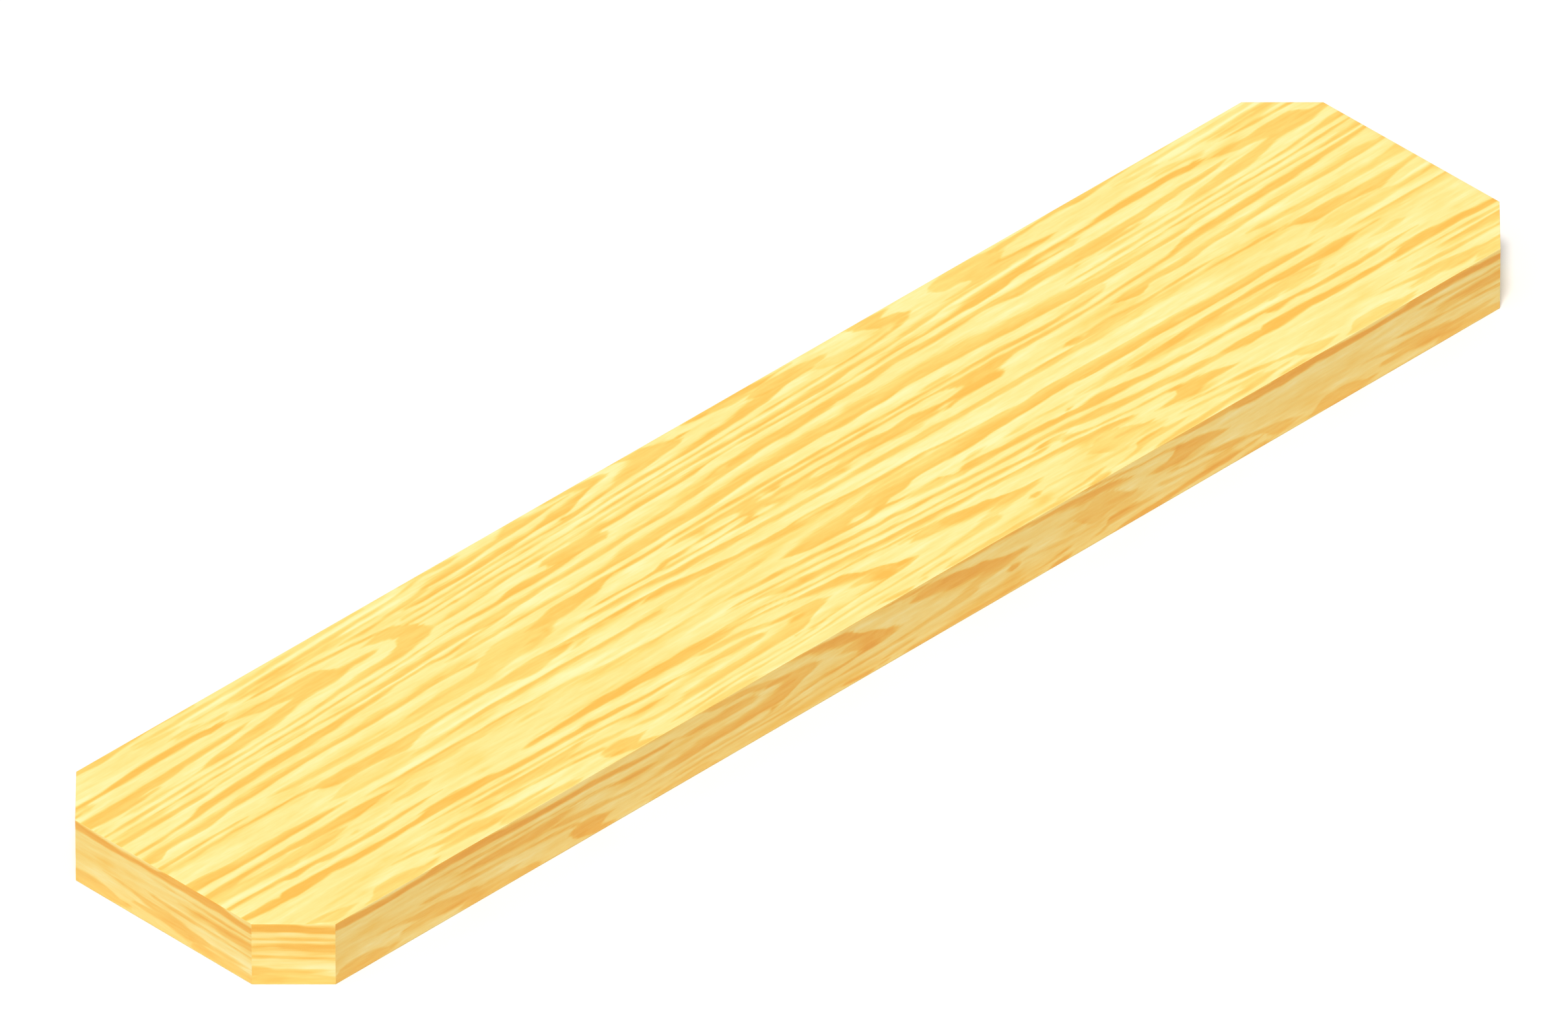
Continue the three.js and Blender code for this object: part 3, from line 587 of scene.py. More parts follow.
    (0.55, 0, ((16, 13.8, 0), (24, 13.6, 2.4), (32, 11.8, 5), (38, 9.4, 8.4), (45, 7.6, 10), (52, 7, 8),
        (60, 6.8, 4.4), (69, 7.2, 0))),
    (0.75, 0, ((880, 24, 0), (890, 22.8, 2), (900, 21.6, 2.6), (912, 21, 2.7), (920, 20.2, 3.6),
        (930, 18.6, 5), (940, 17.4, 5.4), (957, 15.4, 2.8), (968, 14.8, 0))),
    (0.55, 0, ((868, 17.6, 0), (874, 17.2, 2.6), (882, 16.2, 2.6), (920, 13.4, 2), (933, 12.9, 2.2),
        (942, 12.4, 2))),
    (0.45, 0, ((915, 9.4, 0), (920, 9.6, 4.6), (930, 9.8, 6), (940, 9.4, 5.4), (948, 8.2, 2.6),
        (953, 7.6, 0))),
    (0.5, 0, ((199, 2.2, 0), (203, 2.8, 5.4), (208, 3.8, 7.6), (215, 4.4, 8.8), (235, 4.8, 8.2),
        (252, 3.8, 7.5), (262, 2.8, 6), (272, 2.3, 4.5), (277, 2.5, 0))),
    (0.47, 0, ((376, 1, 0), (392, 2, 5), (410, 2.2, 6), (430, 2.4, 6.4), (440, 1.8, 4.6), (451, 0.6, 0))),
    (0.8, 0, ((560, 4, 0), (570, 3.2, 3), (580, 2.5, 3.6), (590, 2.2, 3.4), (598, 2.6, 0))),
    (0.62, 0, ((603, 6.4, 0), (609, 6.8, 2), (616, 7.2, 2.6), (630, 8, 2.2), (643, 8.2, 0))),
    (0.55, 0, ((602, 3.1, 0.9), (606, 3.2, 2.5), (609, 3.5, 0.9))),
    (0.65, 0, ((624, 1.6, 0), (630, 1.8, 3.6), (640, 1.9, 4), (650, 2, 4.6), (690, 2.1, 4), (745, 2.2, 3),
        (756, 2.4, 2), (765, 2.4, 0))),
    (0.75, 0, ((738, 5.2, 0.9), (764, 6.4, 2.5), (782, 8.7, 2.1), (788, 9.5, 0))),
    (0.8, 0, ((762, 0.8, 0), (768, 1.2, 3.4), (774, 1.8, 4.6), (784, 2.6, 3.2), (788, 3.4, 0))),
    (0.6, 0, ((784, 4.3, 0), (795, 4.8, 1.6), (808, 5.8, 2), (815, 7, 2.6), (819, 8.4, 3.6), (822, 10.8, 6),
        (828, 11.8, 6.6), (850, 11.4, 4.9), (860, 11, 3.6), (871, 11.2, 0))),
    (0.9, 0, ((824, 13.9, 1.1), (835, 14, 1.9), (848, 14.3, 1.1))),
    (0.5, 0, ((789, 28, 0), (806, 27, 19), (812, 27.4, 21.5), (822, 28.4, 17.5), (832, 26.6, 11.5),
        (840, 24.6, 7.5), (847, 22.6, 3.5), (852, 22, 0))),
    (0.7, 0, ((818, 28.3, 1.5), (828, 27.2, 2.9), (838, 26, 2.5), (850, 24.8, 1.5))),
    (0.45, 0, ((770, 32.3, 1.5), (785, 32.5, 3), (796, 32.3, 3.5))),
    (0.42, 0, ((742, 20.7, 1.1), (758, 19.8, 2.6), (770, 18.2, 3.4), (780, 16.6, 3.4), (790, 15.8, 3),
        (805, 15.4, 3), (816, 16.2, 3.6), (824, 17, 0))),
    (0.4, 0, ((818, 18.2, 0), (828, 18.8, 3.4), (842, 19.2, 4.2), (850, 19.4, 3.6), (858, 19.6, 0))),
    (0.75, 0, ((860, 31.3, 0), (870, 30.8, 4.5), (880, 30.8, 6.6), (883.5, 31.6, 8.6), (886, 33.4, 13),
        (896, 33.6, 13), (905, 34.4, 10.6), (921, 33.8, 7.8), (932, 32.2, 3.8), (940, 31.4, 0))),
    (1.0, 0, ((881, 40.9, 1), (886, 40.6, 2.4), (895, 40.3, 2.2), (905, 40.1, 1.6), (914, 39.6, 0))),
    (0.72, 0, ((826, 0.4, 0), (832, 1, 2.6), (838, 1.6, 4), (855, 2.2, 5.4), (870, 2.4, 5.5),
        (885, 3.6, 5.1), (895, 4.6, 4.3), (925, 5.6, 4.6), (938, 6, 4.4), (953, 7.4, 1.6), (965, 8, 1.5),
        (970, 8.3, 0))),
    (0.65, 0, ((947, 0.4, 0), (955, 0.8, 2.4), (973, 1.4, 3.2), (982, 0.8, 0))),
)

# Soft streaks laid over the bands: an amount that deepens or lightens the wood, and a middle line as above.
STREAKS = (
    (-0.22, ((112, 239, 1.5), (150, 240.4, 3), (200, 241, 3.4), (320, 244.2, 3), (348, 245, 1.5))),
    (-0.2, ((272, 236.6, 0.6), (330, 237.6, 3), (354, 238, 1.5))),
    (0.14, ((128, 220.8, 1), (150, 220.4, 4), (184, 220, 1))),
    (0.2, ((160, 233.4, 1.5), (185, 233.2, 3), (205, 233.4, 1.5))),
    (0.16, ((278, 228.4, 4), (300, 226.6, 6), (320, 225, 5), (338, 224.4, 2))),
    (-0.16, ((345, 224.2, 1), (380, 225.1, 2), (434, 227.6, 1))),
    (0.16, ((358, 235.2, 1), (372, 235.4, 2.4), (388, 235.8, 1))),
    (0.14, ((290, 248, 1), (320, 248.3, 3), (342, 248.7, 1))),
    (-0.16, ((222, 171.2, 1), (245, 171.6, 2), (300, 172.4, 1))),
    (0.08, ((308, 168, 1.5), (330, 168, 4), (352, 168.6, 1.5))),
    (-0.14, ((300, 174.2, 1), (330, 175, 1.8), (360, 175, 1))),
    (0.16, ((278, 157, 2), (305, 156.2, 4), (334, 154.6, 3))),
    (0.1, ((225, 137.4, 3), (260, 138, 5), (330, 137, 3))),
    (0.26, ((345, 133.4, 2), (372, 134, 7), (418, 133.6, 2))),
    (0.3, ((446, 156.2, 1.4), (462, 156.6, 3), (482, 156.8, 1.8))),
    (0.2, ((100, 133.5, 3), (120, 133.3, 7), (140, 133.6, 3))),
    (0.14, ((140, 136.6, 2), (205, 137, 4), (236, 136.6, 2))),
    (0.14, ((100, 189.6, 3), (122, 190, 5), (140, 190.6, 3))),
    (0.16, ((474, 224.8, 1), (500, 227.6, 2), (532, 230, 1))),
    (-0.18, ((476, 222.2, 1), (505, 223.2, 2), (540, 225.8, 2.2), (600, 228.4, 1))),
    (-0.15, ((558, 214.5, 1), (700, 217.6, 2.4), (745, 219.2, 1))),
    (-0.12, ((582, 208.4, 0.8), (680, 208.8, 1.6), (724, 209.2, 0.8))),
    (-0.12, ((556, 179.6, 2), (640, 186, 5), (680, 186, 5), (722, 188.4, 3))),
    (-0.16, ((500, 162.4, 1.5), (540, 164, 3), (575, 166, 4), (612, 167.6, 2.4))),
    (0.14, ((488, 156.2, 1), (520, 157.4, 1.6), (564, 157.8, 1))),
    (0.34, ((556, 135.4, 1), (598, 134.6, 2.6), (618, 134.8, 1))),
    (0.24, ((662, 137.4, 1), (685, 137.2, 2.4), (738, 135.4, 1.4))),
    (0.14, ((556, 174.8, 2), (585, 176.4, 4), (614, 178, 2))),
    (0.14, ((606, 246.4, 1.4), (625, 246.6, 3), (644, 246, 1.4))),
    (0.14, ((678, 245, 1), (694, 245.2, 2.2), (710, 245.2, 1))),
    (-0.2, ((842, 218.4, 1), (920, 221.4, 3.4), (950, 223, 3.2), (978, 223.4, 1.2))),
    (-0.15, ((838, 205.8, 1), (920, 207.6, 3.6), (950, 208.2, 4), (980, 209, 1.6))),
    (0.15, ((778, 197.4, 1), (810, 197.4, 2), (852, 198.4, 1.6))),
    (-0.15, ((702, 167.4, 2), (750, 168.4, 4), (790, 167.6, 4), (870, 163.2, 3.4), (908, 161.4, 1.4))),
    (-0.16, ((-14, 68.4, 2), (50, 67, 4), (84, 66.2, 2))),
    (0.14, ((182, 7.4, 1.4), (192, 7.2, 3), (204, 7, 1.4))),
    (-0.19, ((232, 107.2, 1.2), (310, 109.6, 3.2), (345, 109, 3.8), (374, 109.6, 1.6))),
    (0.16, ((280, 59.2, 1.6), (320, 60.8, 3), (355, 62.2, 3), (400, 61.2, 3.4), (440, 61.8, 3.4),
        (484, 61.2, 2.4))),
    (0.2, ((222, 26.4, 1.2), (275, 25.4, 2.6), (304, 24.6, 1.2))),
    (0.18, ((500, 62.4, 1.6), (530, 60, 4.4), (560, 57.6, 3))),
    (-0.12, ((556, 11, 1), (620, 11.8, 2), (680, 13.2, 3), (722, 13.8, 1.6))),
    (0.12, ((596, 107.8, 1), (640, 107, 2), (700, 106.6, 2.4), (722, 106, 1.4))),
    (-0.14, ((596, 79.4, 2), (655, 74.8, 5), (690, 73, 4), (712, 71.6, 2))),
    (0.14, ((866, 27, 1.4), (888, 26.4, 2.2), (914, 25, 1.2))),
    (0.12, ((892, 12.4, 1), (920, 12.6, 2), (950, 11.6, 1))),
    (0.18, ((274, 57.8, 1), (284, 58, 2), (293, 58.6, 1))),
    (-0.08, ((268, 47.4, 1.4), (285, 47, 2.4), (332, 47.6, 2))),
    (0.14, ((272, 18.2, 1.2), (290, 17.6, 2.2), (308, 16.4, 1.6))),
    (0.2, ((122, 26, 1), (158, 26, 1))),
    (-0.1, ((170, 47, 3), (188, 46.4, 5), (206, 45.8, 3))),
    (0.12, ((345, 51.3, 1.5), (395, 49.6, 2.6), (414, 49, 1.5))),
    (0.12, ((470, 61, 2), (490, 61, 3), (505, 60.4, 3), (514, 59, 1))),
    (-0.1, ((470, 8, 1.4), (500, 8.2, 1.8), (525, 9, 1.6), (550, 9.4, 2.6), (602, 9, 1.4))),
    (0.1, ((655, 5.6, 1.6), (675, 5.6, 3), (705, 5.6, 2.6), (735, 4.6, 1.6))),
    (0.14, ((876, 27, 1), (888, 25.6, 2.4), (914, 24, 1))),
    (-0.07, ((672, 46, 1.6), (700, 45, 3), (732, 44, 2))),
    (0.07, ((238, 125.6, 2), (270, 126.2, 5), (305, 126, 6), (330, 127, 3))),
    (-0.06, ((310, 95.4, 2), (340, 95, 4), (386, 94, 5))),
    (-0.08, ((300, 69.6, 3), (330, 68.6, 4), (392, 66, 1.6))),
    (-0.1, ((405, 142, 1), (430, 142.8, 4), (450, 147, 8), (470, 149, 8), (494, 151.6, 4))),
    (-0.12, ((690, 71.2, 1.2), (740, 68.6, 2.4), (792, 67, 2))),
    (-0.1, ((668, 86.6, 2), (690, 86.4, 5), (705, 84.6, 7), (718, 84, 3))),
    (-0.07, ((560, 119, 2), (600, 118.4, 5), (700, 115.4, 7), (760, 114, 7), (792, 113, 4))),
    (-0.06, ((566, 130.6, 2), (650, 128.8, 2), (736, 128.4, 2))),
    (-0.05, ((822, 141, 3), (845, 142.6, 6), (870, 142.6, 6), (892, 142, 3))),
    (0.12, ((168, 231, 1.5), (185, 230.6, 4), (206, 230.4, 3))),
    (-0.12, ((246, 217, 2), (254, 217, 5), (262, 216.4, 2))),
    (-0.08, ((182, 178, 3), (200, 178, 4), (216, 178, 3))),
    (-0.12, ((360, 232.8, 0.8), (385, 233.2, 2), (430, 235.8, 1))),
    (-0.12, ((498, 232, 2), (512, 234.4, 4), (528, 236.4, 4), (540, 238, 2))),
    (-0.1, ((376, 209, 1.5), (480, 210, 1.8), (510, 211.6, 1))),
    (-0.12, ((430, 185.4, 2), (447, 185, 3), (485, 188, 3), (500, 188, 1))),
    (0.3, ((478, 227.3, 0.6), (486, 227.2, 0.6))),
    (-0.12, ((680, 226, 2), (700, 228, 6), (724, 229, 2))),
    (0.14, ((794, 222.4, 2), (801, 222, 6), (808, 221.6, 4), (812, 221, 1))),
    (-0.1, ((815, 215, 1), (842, 216.4, 2.8), (850, 216, 1))),
    (-0.12, ((699, 81, 1.6), (708, 80.4, 4.6), (721, 80, 1))),
    (-0.1, ((744, 88, 2), (770, 88.6, 5), (800, 88.6, 5), (850, 89, 4.4), (885, 90, 2))),
    (-0.09, ((800, 78, 1.6), (860, 75.6, 4), (885, 73, 2))),
    (0.12, ((192, 28, 2), (210, 28.4, 5), (225, 28, 4), (236, 27, 1))),
    (0.12, ((256, 3, 2), (264, 3.4, 5), (278, 2.6, 1))),
    (0.16, ((1002, 127.6, 1.5), (1022, 127.4, 4), (1075, 127, 4), (1105, 127.2, 1.5))),
    (0.18, ((945, 121, 2), (975, 121, 5), (1010, 121.6, 5), (1068, 121, 3.5), (1080, 120.5, 1))),
    (0.18, ((1076, 218, 1.5), (1090, 216.6, 5), (1116, 211.6, 5), (1126, 209, 2))),
    (0.18, ((1096, 220, 1.5), (1127, 221, 6), (1142, 221.4, 3))),
    (0.2, ((1040, 78, 1.5), (1090, 77.8, 4), (1108, 79.5, 4), (1128, 81, 5), (1140, 81.5, 2))),
    (0.14, ((1118, 86, 1.5), (1136, 86, 5), (1160, 85.8, 5), (1185, 85.6, 4), (1195, 85.4, 1.5))),
    (0.2, ((1079, 119, 1.5), (1089, 117.4, 4.5), (1099, 115.2, 4), (1110, 113.6, 1.5))),
    (0.14, ((214, 101, 1.5), (228, 100.2, 6), (265, 100, 7), (300, 100, 1.5))),
    (0.2, ((556, 142, 1.5), (568, 142.2, 5), (592, 139, 1.5))),
    (0.18, ((245, 190.4, 1.2), (300, 191.6, 3), (312, 192, 1.2))),
    (-0.12, ((664, 45.5, 1.5), (680, 45.8, 4), (710, 45, 1.5))),
    (0.26, ((1132, 233.5, 1.5), (1148, 235, 6), (1165, 235.4, 6), (1186, 234.4, 1))),
    (0.12, ((1125, 76, 2), (1145, 75, 8), (1165, 72, 10), (1190, 70, 8), (1200, 70, 3))),
    (0.14, ((1110, 10, 2), (1130, 9, 7), (1166, 4.5, 5), (1176, 4, 2))),
    (0.16, ((1115, 186.4, 2), (1150, 188.2, 4), (1165, 189.6, 2))),
    (-0.14, ((100, 154.6, 1.5), (140, 154.6, 4), (155, 155, 1.5))),
    (-0.2, ((568, 45.4, 1.5), (596, 43, 5), (608, 42, 1.5))),
)

# Soft patches that deepen or lighten the wood: (along, across, reach along, reach across, amount).
CLOUDS = (
    (90, 24, 60, 8, 0.16), (70, 18, 22, 4, 0.14), (118, 30, 8, 6, 0.12), (30, 174.5, 24, 3, 0.22),
    (200, 30, 14, 5, 0.18), (398, 79, 54, 5, 0.32), (301, 79, 12, 1.6, 0.35), (415, 119.5, 36, 3, 0.3),
    (360, 30.6, 16, 3.6, 0.26), (392, 31, 18, 3, 0.3), (545, 97.5, 18, 3.4, 0.22), (505, 86, 36, 3.4, 0.14),
    (565, 8, 40, 2.6, 0.3), (695, 9, 34, 3.6, 0.25), (728, 10, 8, 5, 0.3), (790, 23, 14, 4, 0.28),
    (765, 11.5, 40, 4, 0.12), (235, 57, 6, 3, 0.16), (240, 75, 30, 5, 0.12), (620, 240, 14, 2, 0.18),
    (635, 20, 30, 3, 0.1), (905, 27, 14, 1.6, 0.3), (705, 10, 14, 2.4, 0.15), (700, 103.5, 40, 3, 0.12),
    (880, 119.5, 30, 2, 0.16), (475, 152.5, 8, 3, -0.15), (745, 243, 20, 5, -0.04), (500, 128, 18, 2, 0.1),
    (680, 225, 30, 3, 0.02), (800, 192.5, 14, 1, 0.12), (943, 191.4, 4, 0.8, 0.4), (560, 192, 26, 1.6, 0.2),
    (860, 165, 70, 4, 0.08), (900, 161.5, 24, 2.6, 0.2), (900, 139, 30, 4, 0.16),
    (924, 139.6, 16, 3.4, 0.24), (600, 164, 50, 2, 0.04), (540, 117, 30, 1.6, 0.08),
    (600, 104, 60, 4, 0.18), (480, 104, 40, 6, 0.06), (130, 73, 30, 5, 0.08), (220, 66, 40, 3, 0.08),
    (75, 236, 38, 7, 0.13), (155, 232.5, 20, 3.6, -0.14), (95, 134, 8, 4, 0.1), (215, 139, 14, 4, 0.14),
    (262, 216, 18, 4, 0.08), (382, 142, 5, 4, 0.2), (402, 140, 14, 3.6, -0.12), (410, 198, 18, 3.6, -0.08),
    (345, 205, 12, 3, -0.1), (470, 248, 9, 2.4, -0.12), (540, 244, 13, 4, -0.14), (538, 236, 8, 3.4, -0.1),
    (495, 193, 5, 4, -0.1), (536, 148, 6, 4, 0.36), (611, 151, 8, 1.8, 0.25), (615, 145, 40, 5, 0.1),
    (658, 132.4, 9, 1.8, 0.25), (684, 234.6, 12, 1.8, 0.2), (787, 233, 9, 6, 0.2),
    (762, 227.4, 14, 3, 0.14), (733, 231, 12, 3.4, 0.18), (737, 244, 8, 4.6, 0.14),
    (941, 188.6, 16, 3.2, 0.16), (775, 185, 20, 2, 0.12), (788, 145, 6, 2, 0.2), (762, 146, 16, 2.6, -0.12),
    (938, 133.4, 18, 2.4, 0.18), (88, 115.5, 40, 7, 0.09), (200, 95, 26, 2.4, -0.14),
    (188, 103, 20, 3, 0.08), (80, 13, 8, 2.6, 0.14), (275, 113, 26, 1.8, 0.14), (262, 98, 28, 2, 0.1),
    (372, 82.6, 24, 2.4, 0.16), (422, 34, 22, 2.8, 0.3), (253, 13, 22, 5, -0.12), (314, 6, 6, 3, 0.18),
    (420, 87, 30, 2.2, -0.12), (590, 29, 9, 6, 0.34), (572, 36.6, 16, 3.4, 0.14), (680, 33, 26, 4, 0.14),
    (505, 4, 36, 3.6, 0.14), (745, 85, 34, 4.6, -0.14), (780, 56, 10, 1.8, 0.24), (797, 37.4, 8, 3.2, 0.24),
    (735, 13.4, 6, 2.4, 0.18), (765, 16, 12, 1.6, 0.12), (815, 13, 14, 2, 0.14), (838, 19, 13, 1.6, 0.16),
    (656, 74.4, 20, 2.6, -0.1), (170, 80, 20, 2.4, 0.14), (475, 35.6, 18, 3.4, -0.06),
    (268, 56, 10, 2, 0.1), (255, 48.6, 16, 1.2, 0.12), (242, 56, 18, 2, 0.08), (356, 27, 13, 2.6, 0.14),
    (374, 27.6, 22, 2.6, 0.13), (112, 15.6, 27, 4.2, -0.11), (392, 49.4, 30, 1.6, 0.08),
    (528, 4, 34, 3, 0.06), (622, 20, 22, 2.4, -0.08), (620, 34, 24, 5, -0.06), (551, 36.5, 8, 3.6, -0.09),
    (716, 21.4, 16, 2.4, -0.08), (696, 11, 22, 2.4, -0.07), (785, 34, 14, 4, 0.07),
    (742, 37, 10, 2.4, 0.07), (136, 73, 9, 3, -0.08), (415, 117.5, 40, 4.4, 0.08),
    (483, 86.8, 20, 2.4, 0.12), (515, 85.6, 45, 3.2, 0.05), (402, 172.5, 24, 4, -0.1),
    (372, 168.5, 14, 3, -0.07),
)

# How fast the depth inside a band grows from its side: a crisp side, a side that fades out, a plain side.
CRISP = 1.4
FADED = 0.5
PLAIN = 1.0

# How far outside itself a band is still reckoned with, and how far from its ends a soft line or a halo has
# set in, in millimetres.
REACH = 12
SET_IN = 14

# Depth and tone of wood that no band comes near.
OPEN_DEPTH = -6.0
OPEN_TONE = 0.6

# A band covers the wood between these depths. One with a crisp side is a little darker there, and loses this
# share of its tone between these distances from it.
COVER = (-1.8, 1.0)
CRISP_TONE = 1.03
TONE_LOSS = 0.12
LOSS_RANGE = (0.5, 8)

# The wood just outside a band with a crisp side: how much paler it is along that side, how much deeper past
# the other side of a thin band and of a wide one, and how far each reaches in millimetres.
PALER = 0.06
PALER_REACH = 4
DEEPER_THIN = 0.1
DEEPER_WIDE = 0.04
DEEPER_REACH = 5

# The depths between which that paler and deeper wood sets in and dies out, the half widths between which a
# band comes to have it, and the half widths between which a thin band counts as a wide one.
HALO_NEAR = (0.5, -1.5)
HALO_FAR = (-12, -4)
HALO_GROWS = (0.2, 1.0)
THIN_TO_WIDE = (1.5, 3)

# How far a streak spreads, as a share of its width.
STREAK_SPREAD = 0.6


def ease(low, high, value):
    """0 below low, 1 above high and a smooth rise between."""
    t = np.clip((value - low) / (high - low), 0, 1)
    return t * t * (3 - 2 * t)


def smooth_curve(points, column, along):
    """A smooth curve through one column of a band's points."""
    stops = np.array([p[0] for p in points], float)
    values = np.array([p[column] for p in points], float)
    slopes = np.gradient(values, stops)
    i = np.clip(np.searchsorted(stops, along) - 1, 0, len(stops) - 2)
    step = stops[i + 1] - stops[i]
    t = (along - stops[i]) / step
    start = (1 + 2 * t) * (1 - t) ** 2 * values[i] + t * (1 - t) ** 2 * step * slopes[i]
    end = t * t * (3 - 2 * t) * values[i + 1] + t * t * (t - 1) * step * slopes[i + 1]
    return start + end


def band_depth(points, side, along, across):
    """Depth inside one band, negative outside it, distance from its crisp side and half its width, in mm."""
    first, last = points[0][0], points[-1][0]
    held = np.clip(along, first, last)
    middle = smooth_curve(points, 1, held)
    half = np.maximum(smooth_curve(points, 2, held), 0) / 2
    upper = half - (across - middle)
    lower = half + (across - middle)
    ends = np.minimum(along - first, last - along)
    ends = END_START + ends * np.where(ends > 0, END_RISE, END_FALL)
    steep_upper = CRISP if side > 0 else FADED if side < 0 else PLAIN
    steep_lower = CRISP if side < 0 else FADED if side > 0 else PLAIN
    depth = np.minimum(np.minimum(upper * steep_upper, lower * steep_lower), ends)
    from_side = upper if side > 0 else lower
    return depth, from_side, half


def halo(from_side, half, inside, to_end):
    """Wood just outside a band: paler along its crisp side, deeper where the other side fades out."""
    beyond = ease(*HALO_NEAR, inside) * ease(*HALO_FAR, inside)
    beyond *= ease(0, SET_IN, to_end) * ease(*HALO_GROWS, half)
    crisp = np.exp(-((from_side / PALER_REACH) ** 2)) * (from_side < 0)
    past = from_side - 2 * half
    deeper = DEEPER_THIN + (DEEPER_WIDE - DEEPER_THIN) * ease(*THIN_TO_WIDE, half)
    faded = np.exp(-((past / DEEPER_REACH) ** 2)) * (past > 0)
    return beyond * (deeper * faded - PALER * crisp)


def repeats(home):
    """Places along the grain, as seen from the sheet before, the sheet itself and the sheet after."""
    return [home + turn * SHEET_PERIOD for turn in (-1, 0, 1)]


def lay_bands(home, across, depth, tone, shade):
    """Lays the bands in their order, each over the ones before it."""
    for level, side, points in BANDS:
        first, last = points[0][0], points[-1][0]
        low = min(middle - width / 2 for _, middle, width in points) - REACH
        high = max(middle + width / 2 for _, middle, width in points) + REACH
        for place in repeats(home):
            near = (place > first - REACH) & (place < last + REACH) & (across > low) & (across < high)
            if not near.any():
                continue
            held = place[near]
            inside, from_side, half = band_depth(points, side, held, across[near])
            strength = level
            if side:
                strength = level * (CRISP_TONE - TONE_LOSS * ease(*LOSS_RANGE, from_side))
                shade[near] += halo(from_side, half, inside, np.minimum(held - first, last - held))
            cover = ease(*COVER, inside)
            tone[near] = tone[near] * (1 - cover) + strength * cover
            if level < PALE:
                depth[near] = np.minimum(depth[near], -inside)
            else:
                depth[near] = np.maximum(depth[near], inside)


def lay_streaks(home, across, shade):
    """Adds the streaks, each a soft line that sets in from both ends."""
    for amount, points in STREAKS:
        first, last = points[0][0], points[-1][0]
        for place in repeats(home):
            near = (place > first) & (place < last)
            if not near.any():
                continue
            held = place[near]
            off = across[near] - smooth_curve(points, 1, held)
            off /= STREAK_SPREAD * smooth_curve(points, 2, held)
            fade = ease(0, SET_IN, held - first) * ease(0, SET_IN, last - held)
            shade[near] += amount * fade * np.exp(-(off**2))


def lay_clouds(home, across, shade):
    """Adds the soft patches."""
    for middle_along, middle_across, reach_along, reach_across, amount in CLOUDS:
        off_across = (across - middle_across) / reach_across
        for place in repeats(home):
            off_along = (place - middle_along) / reach_along
            shade += amount * np.exp(-(off_along**2) - off_across**2)


def growth_figure(along, across):
    """Depth inside the bands in mm, tone of the bands and shade of the wood, at places on the sheet."""
    depth = np.full(along.shape, OPEN_DEPTH)
    tone = np.full(along.shape, OPEN_TONE)
    shade = np.zeros(along.shape)
    home = np.mod(along, SHEET_PERIOD)
    lay_bands(home, across, depth, tone, shade)
    lay_streaks(home, across, shade)
    lay_clouds(home, across, shade)
    return depth, tone, shade


# ---------------------------------------------------------------- the plank's shape

# Lines of the mesh along the plank and across it: the steps between the corner cuts, the steps of one cut
# and the span they fill.
GRID_X = (224, 8, LENGTH)
GRID_Y = (170, 40, WIDTH)

# Rows of faces up a wall, rows round an eased arris, and how many steps one face of the underside spans.
WALL_ROWS = 30
EASING_ROWS = 3
UNDERSIDE_STEP = 4

# A corner cut takes points this near to it as lying on it.
SNAP = 0.001 * MM

# Edges sharper than this, in degrees, are shaded as edges.
SHARP_ANGLE = 38


def line_count(grid):
    """Steps of the grid in one direction."""
    body_steps, cut_steps, _ = grid
    return body_steps + 2 * cut_steps


def station(index, grid):
    """Place of one line of the grid, with whole steps along each corner cut."""
    body_steps, cut_steps, span = grid
    if index <= cut_steps:
        return -span / 2 + CUT * index / cut_steps
    if index >= line_count(grid) - cut_steps:
        return span / 2 - CUT * (line_count(grid) - index) / cut_steps
    return (span - 2 * CUT) * ((index - cut_steps) / body_steps - 0.5)


def add_clipped_grid(bm):
    """The lower face, as a grid whose corners are cut off."""
    steps_x, steps_y = line_count(GRID_X), line_count(GRID_Y)
    bmesh.ops.create_grid(bm, x_segments=steps_x, y_segments=steps_y, size=0.5)
    for v in bm.verts:
        x = station(round((v.co.x + 0.5) * steps_x), GRID_X)
        y = station(round((v.co.y + 0.5) * steps_y), GRID_Y)
        v.co = (x, y, 0)
    for sx in (-1, 1):
        for sy in (-1, 1):
            bmesh.ops.bisect_plane(
                bm,
                geom=bm.verts[:] + bm.edges[:] + bm.faces[:],
                dist=SNAP,
                plane_co=(sx * LENGTH / 2, sy * (WIDTH / 2 - CUT), 0),
                plane_no=(sx, sy, 0),
                clear_outer=True,
            )


def kept_lines(grid):
    """Places of the lines that the underside keeps, in hundredths of a millimetre."""
    kept = range(0, line_count(grid) + 1, UNDERSIDE_STEP)
    return {round(100 * station(index, grid) / MM) for index in kept}


def coarsen_underside(bm):
    """Merges the underside's faces into larger ones, since it needs less detail than the upper face."""
    kept = (kept_lines(GRID_X), kept_lines(GRID_Y))
    spare = []
    for edge in bm.edges:
        if any(face.normal.z > -0.9 for face in edge.link_faces):
            continue
        ends = [[round(100 * v.co[axis] / MM) for v in edge.verts] for axis in (0, 1)]
        if any(a == b and a not in lines for (a, b), lines in zip(ends, kept)):
            spare.append(edge)
    bmesh.ops.dissolve_edges(bm, edges=spare, use_verts=True)


